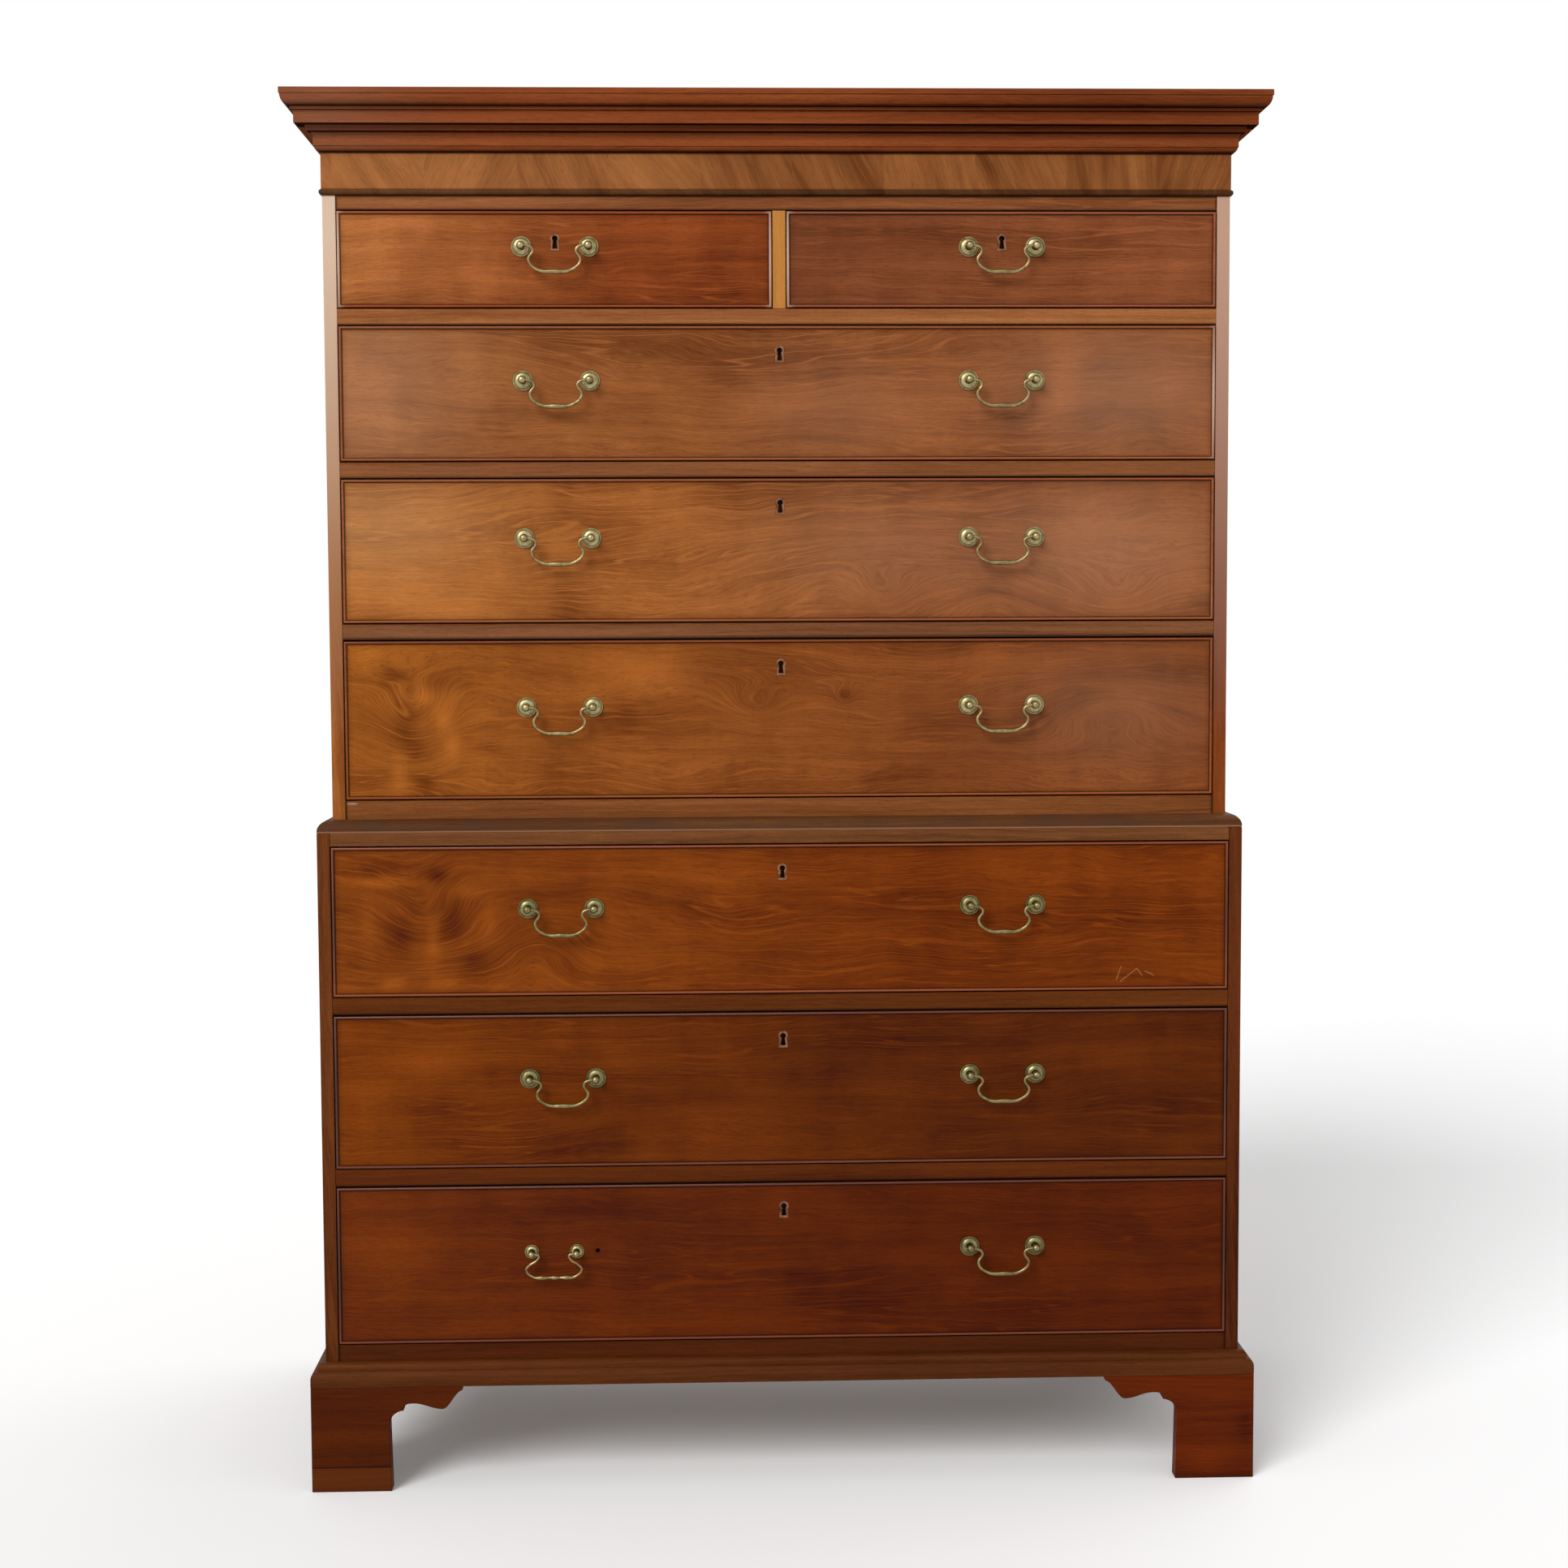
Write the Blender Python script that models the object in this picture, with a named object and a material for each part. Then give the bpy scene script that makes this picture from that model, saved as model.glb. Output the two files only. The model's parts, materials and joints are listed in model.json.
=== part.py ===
"""A mahogany chest-on-chest on bracket feet, as separate pieces, in metres with +Z up.

The front faces -Y. The origin lies on the floor, in the middle of the chest's overall box.
"""

import math
from collections import namedtuple

import bmesh
import bpy
from mathutils import Vector

# Clearances
FIT = 0.0003  # between pieces that touch
DRAWER_GAP = 0.0012  # round a drawer in its opening
DRAWER_BACK_GAP = 0.010  # behind a closed drawer
OVERLAP = 0.001  # how far shapes that become one piece reach into each other
WELD = 0.00002  # points nearer than this become one
SHARP_ANGLE = math.radians(40)

# The two cases
LOWER_WIDTH = 1.146
LOWER_DEPTH = 0.540
SETBACK = 0.0175  # upper case behind the lower one's front, and inside its sides
SIDE_THICKNESS = 0.016
BOARD_THICKNESS = 0.014
BACK_THICKNESS = 0.011
BACK_PLANKS = 6
BACK_GROOVE = 0.002

# Heights, from the floor up
FOOT_HEIGHT = 0.132
LOWER_HEIGHT = 0.690  # lower case, from the feet to the underside of the waist moulding
UPPER_HEIGHT = 0.777  # from there to the top of the upper case
BASE_FASCIA_HEIGHT = 0.0105
BASE_OVOLO_HEIGHT = 0.009
BASE_FILLET_HEIGHT = 0.003
BASE_BEAD_HEIGHT = 0.0065
BOTTOM_RAIL = 0.0205
ROW_7_DEEPER = 0.0065  # row 7 is deeper than row 6 by this, and row 5 shallower
ROW_5_SHALLOWER = 0.0055
LOWER_RAIL = 0.0215
LOWER_TOP_RAIL = 0.016
WAIST_HEIGHT = 0.016
WAIST_LAP = 0.004
UPPER_BOTTOM_RAIL = 0.023
ROW_4_DEEPER = 0.0195  # row 4 is deeper than row 3 by this, and row 2 shallower
ROW_2_SHALLOWER = 0.012
ROW_1_HEIGHT = 0.119
UPPER_RAIL = 0.0195
UPPER_TOP_RAIL = 0.0175

# Dividers between the drawers: rail in front, runners at the sides, dust panel between
RAIL_DEPTH = 0.060
RAIL_SHOULDER = 0.012  # how far back from the front the housing in the side starts
HOUSING_DEPTH = 0.006
RUNNER_WIDTH = 0.040
DUST_PANEL = 0.008
PARTITION_THICKNESS = 0.016
PARTITION_DEPTH = 0.070
GUIDE_HEIGHT = 0.045
STOP_WIDTH = 0.040
STOP_DEPTH = 0.020
STOP_HEIGHT = 0.005
STOP_INSET = 0.110  # from a drawer's end to the middle of its stop

# Base moulding and bracket feet
BASE_PROJECTION = 0.017
BASE_OVOLO_DEPTH = 0.0065
BASE_FILLET_STEP = 0.001
BASE_BEAD_DEPTH = 0.007
FOOT_THICKNESS = 0.022
FOOT_LEG = 0.099
FOOT_LEG_TAPER = 0.002
FOOT_COVE_RADIUS = 0.018
FOOT_LEG_HEIGHT = 0.084
FOOT_STEP = 0.005
FOOT_CUSP_WIDTH = 0.012
FOOT_CUSP_RISE = 0.004
FOOT_LOBE_WIDTH = 0.036
FOOT_LOBE_DROP = 0.0075
FOOT_END_WIDTH = 0.025
FOOT_BLOCK = 0.036
REAR_FOOT_WIDTH = 0.150
REAR_FOOT_TOE = 0.060

# Cornice, built up from the top of the upper case
FRIEZE_THICKNESS = 0.018
FRIEZE_PROUD = 0.001
FRIEZE_HEIGHT = 0.044
ASTRAGAL_HEIGHT = 0.007
ASTRAGAL_DEPTH = 0.0025
NECK_OVOLO = 0.0065
NECK_STEP = 0.001
BED_BAND_HEIGHT = 0.0125
BED_COVE = 0.004
BED_SOFFIT = 0.002
BED_OVOLO = 0.002
BED_FILLET_HEIGHT = 0.005
CORONA_SOFFIT = 0.012
CORONA_HEIGHT = 0.012
CORONA_COVE = 0.0035
CORONA_FILLET_HEIGHT = 0.0035
CROWN_STEP = 0.0015
CROWN_OVOLO_DEPTH = 0.009
CROWN_OVOLO_HEIGHT = 0.0135
CROWN_LIP = 0.001
CROWN_FILLET_HEIGHT = 0.007
CORNICE_BACK_RAIL = 0.090

# Drawers
FRONT_THICKNESS = 0.021
BEAD_WIDTH = 0.0034
BEAD_PROUD = 0.0024
BEAD_ROUND = 0.0011
LINING_THICKNESS = 0.009
LINING_DROP = 0.003  # sides below the front's top edge
LINING_BACK_DROP = 0.010  # back below the sides' top edge
BOTTOM_THICKNESS = 0.007
BOTTOM_RISE = 0.009  # bottom board above the sides' lower edge
GROOVE_DEPTH = 0.004
TAIL_SPACING = 0.046
TAIL_PIN = 0.0075
TAIL_FLARE = 0.0022
TAIL_LAP = 0.006  # front left whole before the dovetails

# Locks and keyholes
LOCK_WIDTH = 0.062
LOCK_HEIGHT = 0.046
LOCK_DEPTH = 0.010
LOCK_INSET = 0.003
KEYHOLE_DROP = 0.031  # round part below the opening's top
SHORT_KEYHOLE_DROP = 0.034
KEYHOLE_RADIUS = 0.0030
KEYHOLE_LENGTH = 0.0118
KEYHOLE_NECK = 0.0018
KEYHOLE_FOOT = 0.0027
KEYHOLE_DEPTH = 0.016
ESCUTCHEON_WALL = 0.0027
ESCUTCHEON_PROUD = 0.0005
KEY_PIN_RADIUS = 0.0011
KEY_PIN_DEPTH = 0.006

# Handles
HANDLE_RISE = 0.0155  # pivots above the middle of the drawer
POST_STANDOFF = 0.0155
POST_STEPS = 8
SOCKET_SIDES = 6
OLD_HOLE_RADIUS = 0.003
OLD_HOLE_DEPTH = 0.012
BAIL_STEPS = 2  # curve steps between two points of a bail

# centres: between posts. neck, belly: half widths of the bail. drop: from pivot to grip
Handle = namedtuple("Handle", "centres rosette ball wire neck belly drop")
SWAN_NECK = Handle(0.082, 0.0112, 0.0050, 0.0018, 0.0265, 0.0315, 0.032)
REPLACEMENT = Handle(0.056, 0.0090, 0.0042, 0.0016, 0.0205, 0.0343, 0.0295)
GRIP_SWELL = 1.6  # grip's thickness in wire thicknesses

Opening = namedtuple("Opening", "floor ceiling")
Case = namedtuple("Case", "half front base top openings rail_wood")


def stack(floor, heights, rail):
    """Drawer openings from the lowest up, with a rail between each two."""
    openings = []
    for height in heights:
        openings.append(Opening(floor, floor + height))
        floor += height + rail
    return openings


# Levels and planes that follow from the sizes
BASE_HEIGHT = BASE_FASCIA_HEIGHT + BASE_OVOLO_HEIGHT + BASE_FILLET_HEIGHT + BASE_BEAD_HEIGHT
LOWER_TOP = FOOT_HEIGHT + LOWER_HEIGHT
LOWER_DRAWERS = LOWER_HEIGHT - BASE_HEIGHT - BOTTOM_RAIL - 2 * LOWER_RAIL - LOWER_TOP_RAIL
ROW_6_HEIGHT = (LOWER_DRAWERS - ROW_7_DEEPER + ROW_5_SHALLOWER) / 3
LOWER_OPENINGS = stack(
    FOOT_HEIGHT + BASE_HEIGHT + BOTTOM_RAIL,
    (ROW_6_HEIGHT + ROW_7_DEEPER, ROW_6_HEIGHT, ROW_6_HEIGHT - ROW_5_SHALLOWER),
    LOWER_RAIL,
)
UPPER_TOP = LOWER_TOP + UPPER_HEIGHT
UPPER_BASE = LOWER_TOP + WAIST_LAP + FIT
UPPER_RAILS = UPPER_BOTTOM_RAIL + 3 * UPPER_RAIL + UPPER_TOP_RAIL
UPPER_DRAWERS = UPPER_HEIGHT - WAIST_HEIGHT - UPPER_RAILS - ROW_1_HEIGHT
ROW_3_HEIGHT = (UPPER_DRAWERS - ROW_4_DEEPER + ROW_2_SHALLOWER) / 3
UPPER_OPENINGS = stack(
    LOWER_TOP + WAIST_HEIGHT + UPPER_BOTTOM_RAIL,
    (ROW_3_HEIGHT + ROW_4_DEEPER, ROW_3_HEIGHT, ROW_3_HEIGHT - ROW_2_SHALLOWER, ROW_1_HEIGHT),
    UPPER_RAIL,
)
UPPER_WIDTH = LOWER_WIDTH - 2 * SETBACK
UPPER_DEPTH = LOWER_DEPTH - SETBACK
CORNICE_PROJECTION = (
    FRIEZE_PROUD
    + NECK_OVOLO
    + NECK_STEP
    + BED_COVE
    + BED_SOFFIT
    + BED_OVOLO
    + CORONA_SOFFIT
    + CORONA_COVE
    + CROWN_STEP
    + CROWN_OVOLO_DEPTH
    + CROWN_LIP
)
HANDLE_REACH = POST_STANDOFF + max(SWAN_NECK.ball, REPLACEMENT.ball)
OVERALL_DEPTH = max(
    UPPER_DEPTH + CORNICE_PROJECTION, LOWER_DEPTH + BASE_PROJECTION, LOWER_DEPTH + HANDLE_REACH
)
BACK = OVERALL_DEPTH / 2
BACK_INSIDE = BACK - BACK_THICKNESS - FIT
UPPER_FRONT = BACK - UPPER_DEPTH
LOWER_FRONT = BACK - LOWER_DEPTH
# All handles stand in line with those in the middle of the short drawers.
HANDLE_OFFSET = (UPPER_WIDTH / 2 - SIDE_THICKNESS + PARTITION_THICKNESS / 2) / 2


def principled(name, colour, roughness, metallic=0.0):
    material = bpy.data.materials.new(name)
    material.use_nodes = True
    shader = material.node_tree.nodes["Principled BSDF"]
    shader.inputs["Base Color"].default_value = (*colour, 1.0)
    shader.inputs["Roughness"].default_value = roughness
    shader.inputs["Metallic"].default_value = metallic
    material.diffuse_color = (*colour, 1.0)
    return material


def shade(mesh):
    """Smooth shading on round parts, with every true edge kept sharp."""
    mesh.shade_smooth()
    mesh.set_sharp_from_angle(angle=SHARP_ANGLE)


def finished(name, bm, material):
    """Turns a bmesh into a named object with outward faces."""
    bmesh.ops.recalc_face_normals(bm, faces=bm.faces)
    mesh = bpy.data.meshes.new(name)
    bm.to_mesh(mesh)
    bm.free()
    mesh.materials.append(material)
    shade(mesh)
    piece = bpy.data.objects.new(name, mesh)
    bpy.context.scene.collection.objects.link(piece)
    return piece


def welded(mesh):
    """Makes one point of any two that a cut or join left almost touching."""
    bm = bmesh.new()
    bm.from_mesh(mesh)
    bmesh.ops.remove_doubles(bm, verts=bm.verts, dist=WELD)
    bm.to_mesh(mesh)
    bm.free()


def combine(piece, helper, operation):
    """Joins a helper solid to a piece or cuts it out, and removes the helper."""
    step = piece.modifiers.new(operation.lower(), "BOOLEAN")
    step.operation = operation
    step.solver = "EXACT"
    step.material_mode = "TRANSFER"
    step.object = helper
    bpy.context.view_layer.update()
    graph = bpy.context.evaluated_depsgraph_get()
    mesh = bpy.data.meshes.new_from_object(piece.evaluated_get(graph))
    piece.modifiers.remove(step)
    used = piece.data
    piece.data = mesh
    bpy.data.meshes.remove(used)
    mesh.name = piece.name
    welded(mesh)
    shade(mesh)
    bpy.data.meshes.remove(helper.data)
    return piece


def join(piece, helper):
    return combine(piece, helper, "UNION")


def cut(piece, helper):
    return combine(piece, helper, "DIFFERENCE")


def gathered(pieces):
    """Puts separate solids into the first one's mesh, so that one cut or join takes them all."""
    first, *others = pieces
    bm = bmesh.new()
    for piece in pieces:
        bm.from_mesh(piece.data)
    bm.to_mesh(first.data)
    bm.free()
    for piece in others:
        bpy.data.meshes.remove(piece.data)
    return first


def prism(name, outline, axis, start, end, material):
    """An outline in the plane across one axis, extruded along that axis."""
    place = {
        "X": lambda a, b, t: (t, a, b),
        "Y": lambda a, b, t: (a, t, b),
        "Z": lambda a, b, t: (a, b, t),
    }[axis]
    bm = bmesh.new()
    face = bm.faces.new([bm.verts.new(place(a, b, start)) for a, b in outline])
    swept = bmesh.ops.extrude_face_region(bm, geom=[face])["geom"]
    moved = [item for item in swept if isinstance(item, bmesh.types.BMVert)]
    bmesh.ops.translate(bm, verts=moved, vec=Vector(place(0, 0, end - start)))
    return finished(name, bm, material)


def block(name, corner, opposite, material):
    (x0, y0, z0), (x1, y1, z1) = corner, opposite
    return prism(name, [(x0, y0), (x1, y0), (x1, y1), (x0, y1)], "Z", z0, z1, material)


def rounded(start, end, hollow=False, steps=3):
    """Points of a quarter round after start: an ovolo first runs along, a hollow first rises."""
    (a0, b0), (a1, b1) = start, end
    points = []
    for step in range(1, steps + 1):
        turn = math.pi / 2 * step / steps
        slow, fast = 1 - math.cos(turn), math.sin(turn)
        along, up = (slow, fast) if hollow else (fast, slow)
        points.append((a0 + (a1 - a0) * along, b0 + (b1 - b0) * up))
    return points


def mitred_moulding(name, profile, half, front, material):
    """A moulding mitred round the front and both sides; profile points are (outward, height)."""
    bm = bmesh.new()
    rings = []
    for side, y, forward in ((-1, BACK, 0), (-1, front, -1), (1, front, -1), (1, BACK, 0)):
        rings.append([bm.verts.new((side * (half + u), y + forward * u, z)) for u, z in profile])
    for ring, after in zip(rings, rings[1:]):
        for i in range(len(profile)):
            bm.faces.new((ring[i - 1], ring[i], after[i], after[i - 1]))
    bm.faces.new(rings[0])
    bm.faces.new(rings[-1])
    return finished(name, bm, material)


def edged_slab(name, edge, half, front, material):
    """A slab whose front and sides follow edge points (inset, height), with a plain back."""
    bm = bmesh.new()
    rings = []
    for inset, z in edge:
        x, y = half - inset, front + inset
        rings.append([bm.verts.new(c) for c in ((-x, BACK, z), (-x, y, z), (x, y, z), (x, BACK, z))])
    for ring, after in zip(rings, rings[1:]):
        for i in range(len(ring)):
            bm.faces.new((ring[i - 1], ring[i], after[i], after[i - 1]))
    bm.faces.new(rings[0])
    bm.faces.new(rings[-1])
    return finished(name, bm, material)


def turned(name, profile, centre, steps, material):
    """A turning that stands out of the front: profile points are (radius, distance outward)."""
    bm = bmesh.new()
    x, z = centre
    points = [bm.verts.new((x + radius, -distance, z)) for radius, distance in profile]
    edges = [bm.edges.new(pair) for pair in zip(points, points[1:])]
    bmesh.ops.spin(
        bm, geom=points + edges, cent=(x, 0, z), axis=(0, 1, 0), angle=math.tau, steps=steps
    )
    bmesh.ops.remove_doubles(bm, verts=bm.verts, dist=WELD)
    return finished(name, bm, material)


def round_bar(name, radius, sides, axis, centre, start, end, material):
    """A bar along an axis whose flats, not corners, lie at the radius."""
    corner = radius / math.cos(math.pi / sides)
    turns = [math.tau * (side + 0.5) / sides for side in range(sides)]
    outline = [
        (centre[0] + corner * math.cos(turn), centre[1] + corner * math.sin(turn)) for turn in turns
    ]
    return prism(name, outline, axis, start, end, material)


for leftover in list(bpy.data.objects):
    bpy.data.objects.remove(leftover)

LIGHT_MAHOGANY = principled("light_mahogany", (0.39, 0.145, 0.048), 0.32)
DARK_MAHOGANY = principled("dark_mahogany", (0.155, 0.042, 0.014), 0.32)
CORNICE_MAHOGANY = principled("cornice_mahogany", (0.24, 0.085, 0.032), 0.36)
OAK = principled("drawer_oak", (0.40, 0.25, 0.12), 0.60)
PINE = principled("carcase_pine", (0.36, 0.22, 0.11), 0.65)
BRASS = principled("old_brass", (0.50, 0.42, 0.22), 0.35, 1.0)

UPPER = Case(UPPER_WIDTH / 2, UPPER_FRONT, UPPER_BASE, UPPER_TOP, UPPER_OPENINGS, LIGHT_MAHOGANY)
LOWER = Case(LOWER_WIDTH / 2, LOWER_FRONT, FOOT_HEIGHT, LOWER_TOP, LOWER_OPENINGS, DARK_MAHOGANY)


# Carcase boards


def inner_half(case):
    return case.half - SIDE_THICKNESS


def rails(case):
    """Lowest and highest level of each divider between two drawer openings."""
    return [(below.ceiling, above.floor) for below, above in zip(case.openings, case.openings[1:])]


def long_opening(case):
    return [(-inner_half(case), inner_half(case))]


def short_openings(case):
    return [(-inner_half(case), -PARTITION_THICKNESS / 2), (PARTITION_THICKNESS / 2, inner_half(case))]


def case_side(name, case, side):
    """A side board with stopped housings for the dividers."""
    inner = side * inner_half(case)
    board = block(
        name, (side * case.half, case.front, case.base), (inner, BACK, case.top), case.rail_wood
    )
    for low, high in rails(case):
        housing = block(
            "housing",
            (inner - side * OVERLAP, case.front + RAIL_SHOULDER - FIT, low - FIT),
            (inner + side * HOUSING_DEPTH, BACK_INSIDE + FIT, high + FIT),
            case.rail_wood,
        )
        cut(board, housing)
    return board


def add_stops(board, case, level, spans):
    """Blocks that a closed drawer's front comes to rest against, two to a drawer."""
    behind = case.front + FRONT_THICKNESS + FIT
    for left, right in spans:
        for x in (left + STOP_INSET, right - STOP_INSET):
            stop = block(
                "stop",
                (x - STOP_WIDTH / 2, behind, level - OVERLAP),
                (x + STOP_WIDTH / 2, behind + STOP_DEPTH, level + STOP_HEIGHT),
                board.data.materials[0],
            )
            join(board, stop)


def divider(name, case, low, high, spans):
    """Front rail, runners and dust panel under the drawers that lie in the given spans."""
    near = inner_half(case) - FIT
    far = near + HOUSING_DEPTH
    shoulder = case.front + RAIL_SHOULDER
    outline = [
        (-near, case.front),
        (near, case.front),
        (near, shoulder),
        (far, shoulder),
        (far, BACK_INSIDE),
        (-far, BACK_INSIDE),
        (-far, shoulder),
        (-near, shoulder),
    ]
    board = prism(name, outline, "Z", low, high, case.rail_wood)
    panel_front, panel_back = case.front + RAIL_DEPTH, BACK_INSIDE - RUNNER_WIDTH
    panel_low, panel_high = (low + high - DUST_PANEL) / 2, (low + high + DUST_PANEL) / 2
    for left, right in spans:
        pocket = block(
            "pocket",
            (left + RUNNER_WIDTH, panel_front, panel_high),
            (right - RUNNER_WIDTH, panel_back, high + OVERLAP),
            case.rail_wood,
        )
        cut(board, pocket)
    recess = block(
        "recess",
        (RUNNER_WIDTH - near, panel_front, low - OVERLAP),
        (near - RUNNER_WIDTH, panel_back, panel_low),
        case.rail_wood,
    )
    cut(board, recess)
    add_stops(board, case, high, spans)
    return board


def bottom_board(name, case):
    """A board between the sides with a deeper rail along its front edge."""
    floor = case.openings[0].floor
    rail_back = case.front + RAIL_DEPTH
    section = [
        (case.front, case.base),
        (rail_back, case.base),
        (rail_back, floor - BOARD_THICKNESS),
        (BACK_INSIDE, floor - BOARD_THICKNESS),
        (BACK_INSIDE, floor),
        (case.front, floor),
    ]
    reach = inner_half(case) - FIT
    board = prism(name, section, "X", -reach, reach, case.rail_wood)
    add_stops(board, case, floor, long_opening(case))
    return board


def backboard(name, case, top):
    """Planks let in between the sides, with a groove at each joint on the outside."""
    reach = inner_half(case) - FIT
    outline = [(-reach, BACK - BACK_THICKNESS), (reach, BACK - BACK_THICKNESS), (reach, BACK)]
    for plank in range(BACK_PLANKS - 1, 0, -1):
        x = reach * (2 * plank / BACK_PLANKS - 1)
        outline += [(x + BACK_GROOVE, BACK), (x, BACK - BACK_GROOVE), (x - BACK_GROOVE, BACK)]
    outline.append((-reach, BACK))
    return prism(name, outline, "Z", case.base, top, PINE)


def partition():
    """The upright between the two short drawers, with the drawer guide behind it."""
    floor, ceiling = UPPER.openings[-1]
    post_back = UPPER.front + PARTITION_DEPTH
    section = [
        (UPPER.front, floor + FIT),
        (BACK_INSIDE, floor + FIT),
        (BACK_INSIDE, floor + GUIDE_HEIGHT),
        (post_back, floor + GUIDE_HEIGHT),
        (post_back, ceiling - FIT),
        (UPPER.front, ceiling - FIT),
    ]
    half = PARTITION_THICKNESS / 2
    return prism("short_drawer_partition", section, "X", -half, half, LIGHT_MAHOGANY)


def lower_top():
    """Top of the lower case: lapped over the sides, with the waist moulding round its edge."""
    seat = LOWER_TOP + FIT
    rim = LOWER_TOP + WAIST_HEIGHT
    lip = seat + WAIST_LAP / 2
    round_inset = SETBACK - WAIST_LAP / 2
    edge = [(0, seat), (0, lip)]
    edge += rounded((0, lip), (round_inset, rim), hollow=True, steps=4)
    board = edged_slab("lower_top_board", edge, LOWER.half, LOWER.front, DARK_MAHOGANY)
    well = block(
        "well",
        (-UPPER.half - FIT, UPPER.front - FIT, LOWER_TOP + WAIST_LAP),
        (UPPER.half + FIT, BACK + OVERLAP, rim + OVERLAP),
        DARK_MAHOGANY,
    )
    cut(board, well)
    reach = inner_half(LOWER) - FIT
    rail = block(
        "rail",
        (-reach, LOWER.front, LOWER.openings[-1].ceiling),
        (reach, BACK_INSIDE, seat + OVERLAP),
        DARK_MAHOGANY,
    )
    return join(board, rail)


def upper_top():
    reach = inner_half(UPPER) - FIT
    return block(
        "upper_top_board",
        (-reach, UPPER.front, UPPER.openings[-1].ceiling),
        (reach, BACK_INSIDE, UPPER_TOP),
        LIGHT_MAHOGANY,
    )


# Cornice, base moulding and feet


def cornice():
    """Frieze frame that sits on the upper case, with its astragal and built-up cornice."""
    base = UPPER_TOP + FIT
    outline = [(-FRIEZE_THICKNESS, base), (0, base)]
    for step in range(1, 4):
        turn = math.pi * step / 4
        height = base + ASTRAGAL_HEIGHT * (1 - math.cos(turn)) / 2
        outline.append((FRIEZE_PROUD + ASTRAGAL_DEPTH * math.sin(turn), height))
    u, z = FRIEZE_PROUD, base + ASTRAGAL_HEIGHT
    outline.append((u, z))
    z += FRIEZE_HEIGHT
    outline.append((u, z))

    def step_by(out, up):
        nonlocal u, z
        u, z = u + out, z + up
        outline.append((u, z))

    def round_by(out, up, hollow=False):
        nonlocal u, z
        outline.extend(rounded((u, z), (u + out, z + up), hollow))
        u, z = u + out, z + up

    round_by(NECK_OVOLO, NECK_OVOLO)
    step_by(NECK_STEP, 0)
    step_by(0, BED_BAND_HEIGHT)
    round_by(BED_COVE, BED_COVE, hollow=True)
    step_by(BED_SOFFIT, 0)
    round_by(BED_OVOLO, BED_OVOLO)
    step_by(0, BED_FILLET_HEIGHT)
    step_by(CORONA_SOFFIT, 0)
    step_by(0, CORONA_HEIGHT)
    round_by(CORONA_COVE, CORONA_COVE, hollow=True)
    step_by(0, CORONA_FILLET_HEIGHT)
    step_by(CROWN_STEP, 0)
    round_by(CROWN_OVOLO_DEPTH, CROWN_OVOLO_HEIGHT)
    step_by(CROWN_LIP, 0)
    step_by(0, CROWN_FILLET_HEIGHT)
    outline.append((-FRIEZE_THICKNESS, z))
    frame = mitred_moulding("cornice", outline, UPPER.half, UPPER.front, CORNICE_MAHOGANY)
    reach = UPPER.half - FRIEZE_THICKNESS + OVERLAP
    rail = block(
        "back_rail",
        (-reach, BACK - FRIEZE_THICKNESS, base + OVERLAP),
        (reach, BACK - OVERLAP, base + CORNICE_BACK_RAIL),
        CORNICE_MAHOGANY,
    )
    return join(frame, rail)


def base_moulding():
    """Moulding planted round the foot of the lower case, above the bracket feet."""
    u, z = BASE_PROJECTION, FOOT_HEIGHT
    outline = [(FIT, z), (u, z)]
    z += BASE_FASCIA_HEIGHT
    outline.append((u, z))
    outline += rounded((u, z), (u - BASE_OVOLO_DEPTH, z + BASE_OVOLO_HEIGHT), hollow=True)
    u, z = u - BASE_OVOLO_DEPTH - BASE_FILLET_STEP, z + BASE_OVOLO_HEIGHT
    outline.append((u, z))
    z += BASE_FILLET_HEIGHT
    outline.append((u, z))
    outline += rounded((u, z), (u - BASE_BEAD_DEPTH, z + BASE_BEAD_HEIGHT), hollow=True)
    outline.append((FIT, z + BASE_BEAD_HEIGHT))
    return mitred_moulding("base_moulding", outline, LOWER.half, LOWER.front, DARK_MAHOGANY)


def bracket_outline(height):
    """Shaped bracket, as (distance from the corner, height): leg, cove, step, lobe and end."""
    points = [(0, 0), (FOOT_LEG, 0)]
    s, h = FOOT_LEG - FOOT_LEG_TAPER, FOOT_LEG_HEIGHT
    points.append((s, h))
    points += rounded((s, h), (s + FOOT_COVE_RADIUS, h + FOOT_COVE_RADIUS), hollow=True)
    s, h = s + FOOT_COVE_RADIUS, h + FOOT_COVE_RADIUS + FOOT_STEP
    points.append((s, h))
    points += rounded((s, h), (s + FOOT_CUSP_WIDTH, h + FOOT_CUSP_RISE), hollow=True, steps=2)
    s, h = s + FOOT_CUSP_WIDTH, h + FOOT_CUSP_RISE
    for share in (0.25, 0.5, 0.75, 1.0):
        fall = (1 - math.cos(math.pi * share)) / 2
        points.append((s + FOOT_LOBE_WIDTH * share, h - FOOT_LOBE_DROP * fall))
    s, h = s + FOOT_LOBE_WIDTH, h - FOOT_LOBE_DROP
    for share in (0.3, 0.5, 0.7, 1.0):
        rise = (1 - math.cos(math.pi * share)) / 2
        points.append((s + FOOT_END_WIDTH * share, h + (height - FOOT_STEP - h) * rise))
    points.append((s + FOOT_END_WIDTH, height))
    points.append((0, height))
    return points


def plain_outline(height):
    """Plain bracket board across the back, cut away in a straight slope."""
    return [
        (0, 0),
        (REAR_FOOT_TOE, 0),
        (REAR_FOOT_WIDTH, height - FOOT_STEP),
        (REAR_FOOT_WIDTH, height),
        (0, height),
    ]


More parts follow.
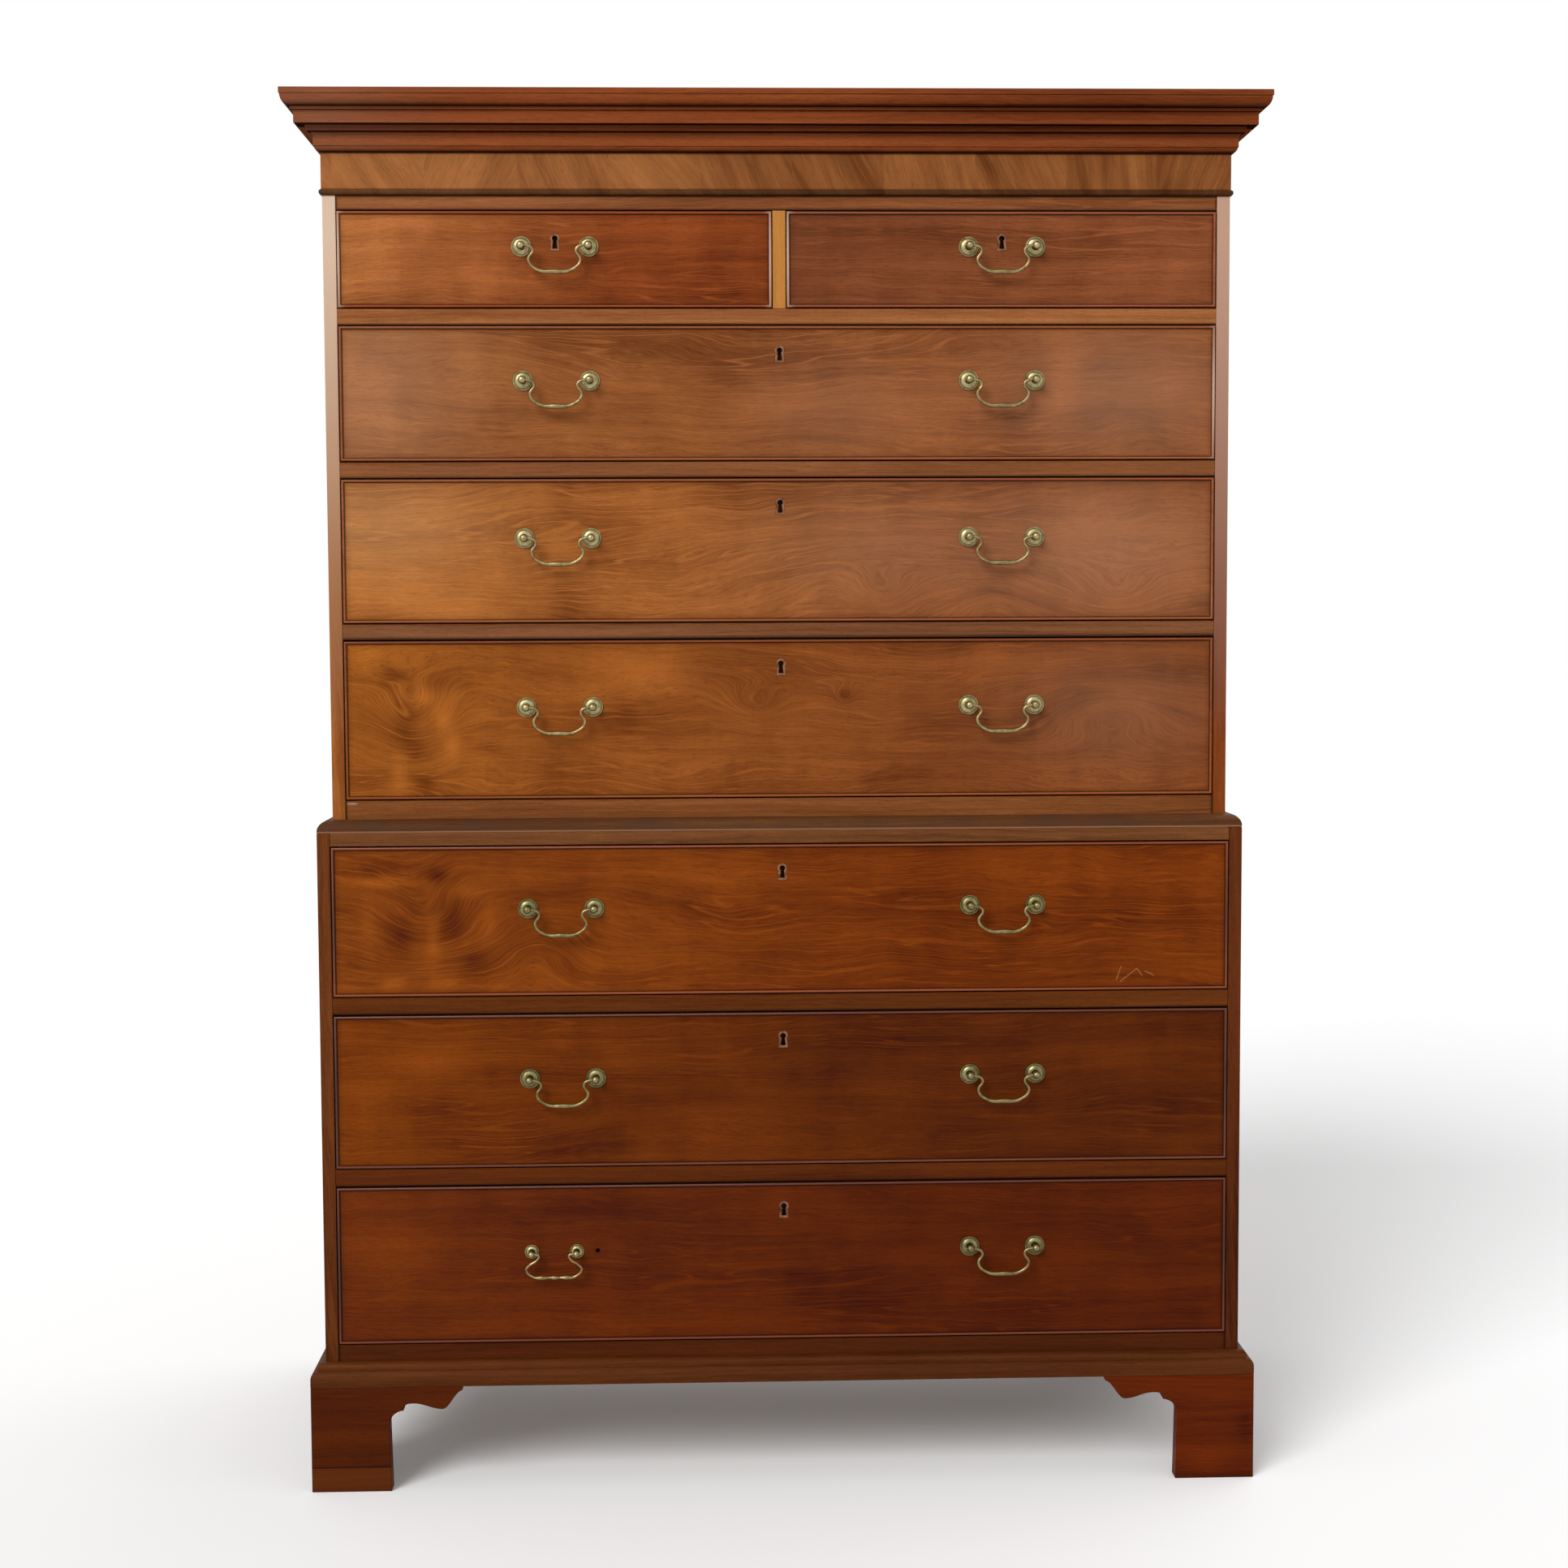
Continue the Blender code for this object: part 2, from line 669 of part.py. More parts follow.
def bracket_foot(name, side, corner_y, inward, across_outline, side_outline):
    """Two bracket boards mitred at the corner, with a glue block in the angle.

    The across outline runs along X from the corner, and the side outline along Y.
    """
    corner_x = side * (LOWER.half + BASE_PROJECTION)
    bm = bmesh.new()

    def wing(outline, place):
        outer = [bm.verts.new(place(s, 0, h)) for s, h in outline]
        inner = [bm.verts.new(place(max(s, FOOT_THICKNESS), FOOT_THICKNESS, h)) for s, h in outline]
        for i in range(len(outline) - 1):
            bm.faces.new((outer[i], outer[i + 1], inner[i + 1], inner[i]))
        bm.faces.new(outer)
        bm.faces.new(inner)

    wing(across_outline, lambda s, t, h: (corner_x - side * s, corner_y + inward * t, h))
    wing(side_outline, lambda s, t, h: (corner_x - side * t, corner_y + inward * s, h))
    bmesh.ops.remove_doubles(bm, verts=bm.verts, dist=WELD)
    foot = finished(name, bm, DARK_MAHOGANY)
    angle = FOOT_THICKNESS - OVERLAP
    far = FOOT_THICKNESS + FOOT_BLOCK
    glue_block = block(
        "glue_block",
        (corner_x - side * angle, corner_y + inward * angle, FOOT_STEP),
        (corner_x - side * far, corner_y + inward * far, FOOT_HEIGHT - FIT - OVERLAP),
        DARK_MAHOGANY,
    )
    return join(foot, glue_block)


# Drawers, each modelled about the middle of its opening's floor, at the case's front


def drawer_front_board(name, half, height, wood):
    """Front board with a rounded cock bead standing proud round its edge."""
    low, high = DRAWER_GAP, height - DRAWER_GAP
    corner, opposite = (-half, -BEAD_PROUD, low), (half, FRONT_THICKNESS, high)
    board = block(name, corner, opposite, wood)
    bm = bmesh.new()
    bm.from_mesh(board.data)
    face = min(bm.faces, key=lambda f: f.calc_center_median().y)
    crest = set(face.edges)
    bmesh.ops.inset_region(bm, faces=[face], thickness=BEAD_WIDTH)
    crest |= set(face.edges)
    field = bmesh.ops.extrude_face_region(bm, geom=[face])["geom"]
    verts = [item for item in field if isinstance(item, bmesh.types.BMVert)]
    bmesh.ops.translate(bm, verts=verts, vec=(0, BEAD_PROUD, 0))
    bmesh.ops.delete(bm, geom=[face], context="FACES_ONLY")
    bmesh.ops.bevel(
        bm, geom=list(crest), offset=BEAD_ROUND, segments=2, profile=0.5, affect="EDGES"
    )
    bmesh.ops.recalc_face_normals(bm, faces=bm.faces)
    bm.to_mesh(board.data)
    bm.free()
    shade(board.data)
    return board


def keyhole_outline(z, grow):
    """Round head and flared slot, grown outwards all round by the given wall."""
    radius = KEYHOLE_RADIUS + grow
    neck, foot = KEYHOLE_NECK + grow, KEYHOLE_FOOT + grow
    start = -math.acos(neck / radius)
    sweep = math.pi - 2 * start
    steps = 7
    points = []
    for step in range(steps + 1):
        turn = start + sweep * step / steps
        points.append((radius * math.cos(turn), z + radius * math.sin(turn)))
    bottom = z - KEYHOLE_LENGTH - grow
    return points + [(-foot, bottom), (foot, bottom)]


def lock(height, drop):
    """Lock case behind the front and brass escutcheon, then the keyhole, then the lock's pin."""
    top = height - DRAWER_GAP - LOCK_INSET
    case = block(
        "lock_case",
        (-LOCK_WIDTH / 2, FRONT_THICKNESS - OVERLAP, top - LOCK_HEIGHT),
        (LOCK_WIDTH / 2, FRONT_THICKNESS + LOCK_DEPTH, top),
        BRASS,
    )
    z = height - drop
    rim = keyhole_outline(z, ESCUTCHEON_WALL)
    escutcheon = prism("escutcheon", rim, "Y", -ESCUTCHEON_PROUD, KEYHOLE_DEPTH, BRASS)
    keyhole = prism("keyhole", keyhole_outline(z, 0), "Y", -BEAD_PROUD, KEYHOLE_DEPTH, BRASS)
    pin = round_bar(
        "pin", KEY_PIN_RADIUS, 6, "Y", (0, z), KEY_PIN_DEPTH, KEYHOLE_DEPTH + OVERLAP, BRASS
    )
    return [case, escutcheon], keyhole, pin


def post(pattern, x, z):
    """A turned brass post with a domed rosette, and the bar that drills it for the bail's end."""
    ball = pattern.ball
    # Each point is a share of the rosette's radius or the ball's, out from the drawer.
    profile = [
        (0, -OVERLAP),
        (pattern.rosette, -OVERLAP),
        (pattern.rosette, pattern.rosette * 0.10),
        (pattern.rosette * 0.80, pattern.rosette * 0.33),
        (ball * 0.66, pattern.rosette * 0.46),
        (ball * 0.62, POST_STANDOFF - ball),
        (ball * 0.94, POST_STANDOFF - ball * 0.45),
        (ball * 0.94, POST_STANDOFF + ball * 0.45),
        (ball * 0.55, POST_STANDOFF + ball * 0.88),
        (0, POST_STANDOFF + ball),
    ]
    solid = turned("post", profile, (x, z), POST_STEPS, BRASS)
    bore, centre = pattern.wire + FIT, (-POST_STANDOFF, z)
    ends = x - pattern.rosette, x + pattern.rosette
    return solid, round_bar("socket", bore, SOCKET_SIDES, "X", centre, *ends, BRASS)


def swan_neck_path(pattern):
    """Half of a swan-neck bail from its end to the grip, as (x, z, thickness)."""
    post, drop, neck, belly = pattern.centres / 2, pattern.drop, pattern.neck, pattern.belly
    return [
        (-post - pattern.ball, 0, 1.0),
        (-post + pattern.ball, 0, 1.0),
        (-neck, -drop * 0.16, 1.0),
        (-belly, -drop * 0.58, 1.0),
        (-belly * 0.66, -drop * 0.93, 1.0),
        (0, -drop, GRIP_SWELL),
    ]


def shouldered_path(pattern):
    """Half of the later bail: shoulders outside the posts, a bead between two swells."""
    post, drop, neck, belly = pattern.centres / 2, pattern.drop, pattern.neck, pattern.belly
    return [
        (-post - pattern.ball, 0, 1.0),
        (-post + pattern.ball, 0, 1.0),
        (-neck + pattern.wire, -drop * 0.06, 1.0),
        (-neck, -drop * 0.22, 1.0),
        (-belly * 0.90, -drop * 0.48, 1.0),
        (-belly, -drop * 0.65, 1.0),
        (-belly * 0.74, -drop * 0.97, 1.0),
        (-belly * 0.44, -drop, GRIP_SWELL),
        (-belly * 0.20, -drop, 0.9),
        (0, -drop, GRIP_SWELL),
    ]


def bail(name, pattern, x, z):
    """Cast bail hanging from its pivot, with a grip that swells in the middle."""
    half_path = shouldered_path(pattern) if pattern is REPLACEMENT else swan_neck_path(pattern)
    points = half_path + [(-px, pz, size) for px, pz, size in reversed(half_path[:-1])]
    curve = bpy.data.curves.new(name, "CURVE")
    curve.dimensions = "3D"
    curve.bevel_depth = pattern.wire
    curve.bevel_resolution = 1
    curve.resolution_u = BAIL_STEPS
    curve.use_fill_caps = True
    spline = curve.splines.new("BEZIER")
    spline.bezier_points.add(len(points) - 1)
    for point, (px, pz, size) in zip(spline.bezier_points, points):
        point.co = (px, 0, pz)
        point.radius = size
        point.handle_left_type = point.handle_right_type = "AUTO"
    curve.materials.append(BRASS)
    piece = bpy.data.objects.new(name, curve)
    piece.location = (x, -POST_STANDOFF, z)
    bpy.context.scene.collection.objects.link(piece)
    return piece


def tails(height, back, grow):
    """Dovetails on a drawer side's front end, as outlines of (depth, height)."""
    low, high = FIT, height - DRAWER_GAP - LINING_DROP
    count = max(2, round((high - low) / TAIL_SPACING))
    width = (high - low - (count + 1) * TAIL_PIN) / count
    tip = TAIL_LAP + FIT - grow
    outlines = []
    for number in range(count):
        foot = low + TAIL_PIN + number * (width + TAIL_PIN) - grow
        head = foot + width + 2 * grow
        outlines.append([(back, foot), (tip, foot - TAIL_FLARE), (tip, head + TAIL_FLARE), (back, head)])
    return outlines


def lining(name, half, height, depth):
    """Drawer sides and back, dovetailed together, with tails that enter the front."""
    low, high = FIT, height - DRAWER_GAP - LINING_DROP
    start = FRONT_THICKNESS + FIT
    outline = [(depth, high), (depth, low), (start, low)]
    for tail in tails(height, start, 0):
        outline += tail
    outline.append((start, high))
    box = prism(name, outline, "X", -half, LINING_THICKNESS - half, OAK)
    join(box, prism("side", outline, "X", half - LINING_THICKNESS, half, OAK))
    reach = half - LINING_THICKNESS + OVERLAP
    rear = block(
        "rear",
        (-reach, depth - LINING_THICKNESS, low + BOTTOM_RISE + BOTTOM_THICKNESS + FIT),
        (reach, depth - OVERLAP, high - LINING_BACK_DROP),
        OAK,
    )
    return join(box, rear)


def bottom_corners(half, depth, grow):
    reach = half - LINING_THICKNESS + GROOVE_DEPTH - FIT + grow
    low = FIT + BOTTOM_RISE
    front = FRONT_THICKNESS - GROOVE_DEPTH + FIT
    return (-reach, front - grow, low - grow), (reach, depth + grow, low + BOTTOM_THICKNESS + grow)


def drawer(name, case, opening, span, handles, keyhole_drop):
    """One drawer: front with its brasses, lining, bottom board and a bail for each handle.

    Each handle is (name, pattern, x from the drawer's middle).
    """
    left, right = span
    height = opening.ceiling - opening.floor
    half = (right - left) / 2 - DRAWER_GAP
    depth = BACK_INSIDE - DRAWER_BACK_GAP - case.front
    carrier = bpy.data.objects.new(name, None)
    carrier.location = ((left + right) / 2, case.front, opening.floor)
    bpy.context.scene.collection.objects.link(carrier)

    front = drawer_front_board(name + "_front", half, height, case.rail_wood)
    brasses, keyhole, pin = lock(height, keyhole_drop)
    holes, old_holes = [keyhole], []
    pivot_z = height / 2 + HANDLE_RISE
    bails = []
    for handle_name, pattern, x in handles:
        middle = x
        if pattern is REPLACEMENT:
            # The later handle keeps the outer of the two first holes; the other stays open.
            middle = x - (SWAN_NECK.centres - pattern.centres) / 2
            centre = (x + SWAN_NECK.centres / 2, pivot_z)
            ends = -BEAD_PROUD, OLD_HOLE_DEPTH
            wood = case.rail_wood
            old_holes.append(round_bar("old_hole", OLD_HOLE_RADIUS, 8, "Y", centre, *ends, wood))
        for side in (-1, 1):
            solid, socket = post(pattern, middle + side * pattern.centres / 2, pivot_z)
            brasses.append(solid)
            holes.append(socket)
        bails.append(bail(handle_name, pattern, middle, pivot_z))
    join(front, gathered(brasses))
    cut(front, gathered(holes))
    join(front, pin)
    for hole in old_holes:
        cut(front, hole)
    sockets = []
    for tail in tails(height, FRONT_THICKNESS + OVERLAP, FIT):
        for side in (-1, 1):
            outer, inner = side * (half + OVERLAP), side * (half - LINING_THICKNESS - FIT)
            sockets.append(prism("tail_socket", tail, "X", outer, inner, OAK))
    cut(front, gathered(sockets))

    box = lining(name + "_lining", half, height, depth)
    for piece in (front, box):
        cut(piece, block("groove", *bottom_corners(half, depth, FIT), OAK))
    base = block(name + "_bottom", *bottom_corners(half, depth, 0), OAK)
    for piece in (front, box, base, *bails):
        piece.parent = carrier


# The chest, from the floor up

for label, turn in (("left", -1), ("right", 1)):
    shaped = bracket_outline(FOOT_HEIGHT - FIT)
    plain = plain_outline(FOOT_HEIGHT - FIT)
    bracket_foot("front_foot_" + label, turn, LOWER.front - BASE_PROJECTION, 1, shaped, shaped)
    bracket_foot("rear_foot_" + label, turn, BACK, -1, plain, shaped)
    case_side("lower_side_" + label, LOWER, turn)
    case_side("upper_side_" + label, UPPER, turn)

base_moulding()
bottom_board("lower_bottom_board", LOWER)
backboard("lower_backboard", LOWER, LOWER_TOP)
lower_top()
bottom_board("upper_bottom_board", UPPER)
backboard("upper_backboard", UPPER, UPPER_TOP)
upper_top()
cornice()
partition()

for case, lowest_row, prefix in ((LOWER, 7, "lower"), (UPPER, 4, "upper")):
    for number, (low, high) in enumerate(rails(case)):
        row = lowest_row - 1 - number
        spans = short_openings(case) if row == 1 else long_opening(case)
        divider(f"{prefix}_divider_under_row_{row}", case, low, high, spans)
    for number, opening in enumerate(case.openings):
        row = lowest_row - number
        name = f"drawer_{row}"
        if row == 1:
            for label, span in zip(("left", "right"), short_openings(case)):
                short_name = f"{name}_{label}"
                handles = [(short_name + "_bail", SWAN_NECK, 0)]
                drawer(short_name, case, opening, span, handles, SHORT_KEYHOLE_DROP)
        else:
            left_pattern = REPLACEMENT if row == 7 else SWAN_NECK
            handles = [
                (name + "_bail_left", left_pattern, -HANDLE_OFFSET),
                (name + "_bail_right", SWAN_NECK, HANDLE_OFFSET),
            ]
            drawer(name, case, opening, long_opening(case)[0], handles, KEYHOLE_DROP)
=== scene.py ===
import json
import math

import bmesh
import bpy
from mathutils import Matrix, Vector

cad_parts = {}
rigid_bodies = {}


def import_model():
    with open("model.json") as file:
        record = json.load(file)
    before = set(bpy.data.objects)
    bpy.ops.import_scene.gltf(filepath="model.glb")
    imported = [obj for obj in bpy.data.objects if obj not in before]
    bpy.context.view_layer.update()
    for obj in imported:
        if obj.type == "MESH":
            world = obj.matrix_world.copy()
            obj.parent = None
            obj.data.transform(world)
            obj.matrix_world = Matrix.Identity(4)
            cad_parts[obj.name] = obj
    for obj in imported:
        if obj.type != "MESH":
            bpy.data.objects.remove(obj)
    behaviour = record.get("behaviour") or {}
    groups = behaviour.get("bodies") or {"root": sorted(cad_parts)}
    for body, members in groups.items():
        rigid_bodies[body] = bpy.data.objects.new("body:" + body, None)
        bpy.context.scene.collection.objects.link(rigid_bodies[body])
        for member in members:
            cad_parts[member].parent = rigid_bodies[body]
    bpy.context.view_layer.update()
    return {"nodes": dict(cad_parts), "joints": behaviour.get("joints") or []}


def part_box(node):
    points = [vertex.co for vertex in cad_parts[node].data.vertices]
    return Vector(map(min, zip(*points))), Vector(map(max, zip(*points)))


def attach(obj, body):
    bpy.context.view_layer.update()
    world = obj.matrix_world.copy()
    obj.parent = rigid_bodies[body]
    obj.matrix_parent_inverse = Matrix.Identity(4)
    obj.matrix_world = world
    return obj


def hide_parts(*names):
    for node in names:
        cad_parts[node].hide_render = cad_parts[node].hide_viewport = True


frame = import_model()


# Lower case
# Two solid mahogany sides, a bottom board with a rail along its front, and two dividers between drawers.
# The boards are planed, scraped and waxed, and the dividers run in housings cut in the sides.
# Behind its mahogany facing each divider is pine.

ARRIS = 0.0005


def linear(code):
    """An sRGB hex colour as linear red, green, blue and alpha."""
    parts = [int(code[start : start + 2], 16) / 255 for start in (1, 3, 5)]
    return [*(p / 12.92 if p <= 0.04045 else ((p + 0.055) / 1.055) ** 2.4 for p in parts), 1.0]


def feed(tree, node, inputs):
    """Sets inputs of a node, or links them to other nodes."""
    for socket, value in inputs.items():
        if isinstance(value, bpy.types.Node):
            value = value.outputs[0]
        if isinstance(value, bpy.types.NodeSocket):
            tree.links.new(value, node.inputs[socket])
        else:
            node.inputs[socket].default_value = value


def add(tree, kind, inputs, **settings):
    """Adds a node with its settings and its inputs."""
    node = tree.nodes.new("ShaderNode" + kind)
    for setting, value in settings.items():
        setattr(node, setting, value)
    feed(tree, node, inputs)
    return node


def coordinates(tree):
    """Where a point lies on the object, as x, y and z in metres."""
    place = add(tree, "TexCoord", {}).outputs["Object"]
    return add(tree, "SeparateXYZ", {0: place}).outputs


def drawn_out(tree, line, length, width, detail):
    """Noise along a grain line, with the length and width of its cells in metres."""
    stretched = add(tree, "VectorMath", {0: line, 1: (1 / length, 1 / width, 1)}, operation="MULTIPLY")
    return add(tree, "TexNoise", {"Vector": stretched, "Scale": 1.0, "Detail": detail})


def spot(tree, centre, spread):
    """1 at a place on the object, fading to 0 over the spread, both in metres."""
    place = add(tree, "TexCoord", {}).outputs["Object"]
    offset = add(tree, "VectorMath", {0: place, 1: centre}, operation="SUBTRACT")
    shares = add(tree, "VectorMath", {0: offset, 1: [1 / s for s in spread]}, operation="MULTIPLY")
    square = add(tree, "VectorMath", {0: shares, 1: shares}, operation="DOT_PRODUCT")
    fall = add(tree, "Math", {0: square.outputs["Value"], 1: -1.0}, operation="MULTIPLY")
    return add(tree, "Math", {0: fall}, operation="EXPONENT")


DARKEST = 0.001
# Length and width of each layer of the figure in metres, its detail and its weight. Clouds, growth
# bands and streaks have their real sizes. The fibres are drawn three times as wide to show.
MAHOGANY_LAYERS = (
    (0.45, 0.060, 2, 0.90),
    (1.60, 0.016, 4, 1.00),
    (0.25, 0.0045, 2, 0.65),
    (0.030, 0.0013, 1, 0.55),
)


def wood(name, dark, light, run="X", mitre=None, butt=None, leaves=0.0, seed=0.0, lie=0.0, bend=0.05,
         wave=0.004, swirls=(), clouds=(), core=None, layers=MAHOGANY_LAYERS, veins=0.3, roughness=0.42,
         polish=0.06):
    """Sawn and finished timber: growth bands that follow a bent grain line, streaks and short fibres.

    run is the axis the grain lies along. mitre (half width, front) turns it at a mitred corner, and butt is
    the depth where boards that run back meet one that runs across. leaves is the width of veneer leaves,
    each with its own slant. lie is the slope of the grain line, and bend and wave are its slow and its quick
    wander in metres. swirls push it aside round a knot or crotch, and clouds are lighter or darker patches:
    some of the figure, some painted light and shade. core (y, dark, light) is another timber behind y. veins
    is the strength of the thin pale lines between growth bands, and polish that of the sheen.
    """
    material = bpy.data.materials.new(name)
    material.use_nodes = True
    tree = material.node_tree
    x, y, z = coordinates(tree)
    along, face, edge = {"X": (x, z, y), "Y": (y, z, x), "Z": (z, y, x)}[run]
    if mitre:
        half, front = mitre
        width = add(tree, "Math", {0: x}, operation="ABSOLUTE")
        beside = add(tree, "Math", {0: width, 1: half}, operation="SUBTRACT")
        ahead = add(tree, "Math", {0: front, 1: y}, operation="SUBTRACT")
        turned = add(tree, "Math", {0: beside, 1: ahead}, operation="GREATER_THAN")
    if butt is not None:
        turned = add(tree, "Math", {0: y, 1: butt}, operation="LESS_THAN")
    if mitre or butt is not None:
        along = add(tree, "Mix", {0: turned, 2: x, 3: y})
        edge = add(tree, "Mix", {0: turned, 2: y, 3: x})
    across = add(tree, "Math", {0: edge, 1: 0.7, 2: face}, operation="MULTIPLY_ADD")
    shade = 0.5
    if leaves:
        across = add(tree, "Math", {0: x, 1: y}, operation="ADD")
        count = add(tree, "Math", {0: across, 1: 1 / leaves, 2: 10.0}, operation="MULTIPLY_ADD")
        number = add(tree, "Math", {0: count}, operation="FLOOR")
        leaf = add(tree, "TexWhiteNoise", {"W": number}, noise_dimensions="1D").outputs["Color"]
        slant, shade, seed = add(tree, "SeparateXYZ", {0: leaf}).outputs
        shade = add(tree, "MapRange", {"Value": shade, "To Min": 0.29, "To Max": 0.71})
        lie = add(tree, "MapRange", {"Value": slant, "To Min": -0.5, "To Max": 1.0})
        seed = add(tree, "Math", {0: seed, 1: 9.0}, operation="MULTIPLY")
    flat = add(tree, "CombineXYZ", {0: along, 1: across, 2: seed})
    line = add(tree, "Math", {0: along, 1: lie, 2: across}, operation="MULTIPLY_ADD")
    for length, width, reach in ((0.055, 0.040, wave), (0.35, 0.12, bend)):
        wander = drawn_out(tree, flat, length, width, 2.0)
        line = add(tree, "Math", {0: wander, 1: reach, 2: line}, operation="MULTIPLY_ADD")
    for centre, spread, push in swirls:
        pushed = spot(tree, centre, spread)
        line = add(tree, "Math", {0: pushed, 1: push, 2: line}, operation="MULTIPLY_ADD")
    grain = add(tree, "CombineXYZ", {0: along, 1: line, 2: seed})
    rest = -sum(weight for *_, weight in layers) / 2
    tone = add(tree, "Math", {0: shade, 1: rest}, operation="ADD")
    for centre, spread, weight in clouds:
        patch = spot(tree, centre, spread)
        tone = add(tree, "Math", {0: patch, 1: weight, 2: tone}, operation="MULTIPLY_ADD")
    for length, width, detail, weight in layers:
        fibres = drawn_out(tree, grain, length, width, detail)
        tone = add(tree, "Math", {0: fibres, 1: weight, 2: tone}, operation="MULTIPLY_ADD")
    if core:
        start, core_dark, core_light = core
        inside = add(tree, "Math", {0: y, 1: start}, operation="GREATER_THAN")
        dark = add(tree, "MixRGB", {"Fac": inside, "Color1": dark, "Color2": core_dark})
        light = add(tree, "MixRGB", {"Fac": inside, "Color1": light, "Color2": core_light})
    colour = add(tree, "Mix", {0: tone, 6: dark, 7: light}, data_type="RGBA", clamp_factor=False)
    colour = add(tree, "VectorMath", {0: colour.outputs[2], 1: [DARKEST] * 3}, operation="MAXIMUM")
    # Pale lines 4 mm apart run where the growth changes, and come and go along the grain.
    growth = drawn_out(tree, grain, 0.50, 0.019, 1.0)
    bands = add(tree, "Math", {0: growth, 1: 0.05}, operation="PINGPONG")
    thin = add(tree, "MapRange", {"Value": bands, "From Min": 0.038, "From Max": 0.048, "To Max": veins})
    fading = add(tree, "MapRange", {"Value": wander, "From Min": 0.38, "From Max": 0.55})
    vein = add(tree, "Math", {0: thin, 1: fading}, operation="MULTIPLY")
    colour = add(tree, "MixRGB", {"Fac": vein, "Color1": colour, "Color2": light})
    # Open pores 8 mm long show as short dark dashes close up.
    cells = drawn_out(tree, grain, 0.008, 0.0006, 0.0)
    pore = add(tree, "MapRange", {"Value": cells, "From Min": 0.60, "From Max": 0.72, "To Max": 0.35})
    colour = add(tree, "MixRGB", {"Fac": pore, "Color1": colour, "Color2": dark})
    gloss = add(tree, "MapRange", {"Value": tone, "To Min": roughness + 0.07, "To Max": roughness - 0.07})
    relief = add(tree, "Bump", {"Height": fibres, "Strength": 0.25, "Distance": 0.0002})
    feed(tree, tree.nodes["Principled BSDF"], {"Base Color": colour, "Roughness": gloss, "Normal": relief,
                                               "Specular IOR Level": polish})
    return material


def tones(code, dark=(0.46, 0.36, 0.20), light=(1.48, 1.64, 1.55)):
    """The red-brown dark and the golden light parts of mahogany whose middle tone is given."""
    middle = linear(code)[:3]
    return [[*(c * share for c, share in zip(middle, shares)), 1.0] for shares in (dark, light)]


def laid_over(material, mask, code="#150803", share=1.0):
    """Lays one colour over a material where its mask is 1, as thick as its share: dirt and wear, and painted
    light and shade.
    """
    tree = material.node_tree
    base = tree.nodes["Principled BSDF"].inputs["Base Color"]
    cover = add(tree, "Math", {0: mask, 1: share}, operation="MULTIPLY")
    mixed = add(tree, "MixRGB", {"Fac": cover, "Color1": base.links[0].from_socket, "Color2": linear(code)})
    tree.links.new(mixed.outputs[0], base)


def tinted(material, share):
    """Multiplies the colour of a material."""
    tree = material.node_tree
    base = tree.nodes["Principled BSDF"].inputs["Base Color"]
    varied = add(tree, "VectorMath", {0: base.links[0].from_socket, 1: share}, operation="MULTIPLY")
    tree.links.new(varied.outputs[0], base)


def nearest_edge(tree, low, high):
    """Distance inwards from the outline of a board that faces the front."""
    x, _, z = coordinates(tree)
    nearest = 1.0
    for lower, upper in ((low.x, x), (x, high.x), (low.z, z), (z, high.z)):
        inwards = add(tree, "Math", {0: upper, 1: lower}, operation="SUBTRACT")
        nearest = add(tree, "Math", {0: nearest, 1: inwards}, operation="MINIMUM")
    return nearest


def edge_soot_and_shade(material, low, high, front, bands):
    """Darkens the edges of a board's front in bands of (width, strength): narrow near-black ones are painted
    shade in gaps and creases, wider faint ones old polish and soot.
    """
    tree = material.node_tree
    depth = coordinates(tree)["Y"]
    outside = {"Value": depth, "From Min": front, "From Max": front + 0.004, "To Min": 1.0, "To Max": 0.0}
    for width, strength in bands:
        inwards = nearest_edge(tree, low, high)
        share = {"Value": inwards, "From Max": width, "To Min": strength, "To Max": 0.0}
        mask = {0: add(tree, "MapRange", share), 1: add(tree, "MapRange", outside)}
        laid_over(material, add(tree, "Math", mask, operation="MULTIPLY"))


def placed(name, data):
    """Puts a mesh, curve, lamp or camera into the scene."""
    made = bpy.data.objects.new(name, data)
    bpy.context.scene.collection.objects.link(made)
    return made


def piece(name, bm, material, body, slot, *nodes):
    """Makes a mesh a finished piece that rides on a body and stands for the named solids."""
    bmesh.ops.recalc_face_normals(bm, faces=bm.faces)
    for face in bm.faces:
        face.material_index = 0
    mesh = bpy.data.meshes.new(name)
    bm.to_mesh(mesh)
    bm.free()
    if "custom_normal" in mesh.attributes:
        mesh.attributes.remove(mesh.attributes["custom_normal"])
    mesh.materials.append(material)
    mesh.shade_smooth()
    mesh.set_sharp_from_angle(angle=math.radians(33))
    made = placed(name, mesh)
    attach(made, body)
    if nodes:
        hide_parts(*nodes)
    return made


def ease(bm, arris):
    """Takes off the sharp outer edges by hand-plane width, as use and scraping do."""
    sharp = [e for e in bm.edges if e.is_manifold and e.is_convex and e.calc_face_angle() > 0.6]
    bmesh.ops.bevel(bm, geom=sharp, offset=arris, segments=1, profile=0.5, affect="EDGES",
                    clamp_overlap=True)


def eased(node, name, material, slot, body="carcase", arris=ARRIS):
    """A solid of the frame with its arrises eased."""
    bm = bmesh.new()
    bm.from_mesh(frame["nodes"][node].data)
    bmesh.ops.remove_doubles(bm, verts=bm.verts, dist=0.00001)
    bmesh.ops.dissolve_limit(bm, angle_limit=math.radians(1), verts=bm.verts, edges=bm.edges)
    ease(bm, arris)
    return piece(name, bm, material, body, slot, node)


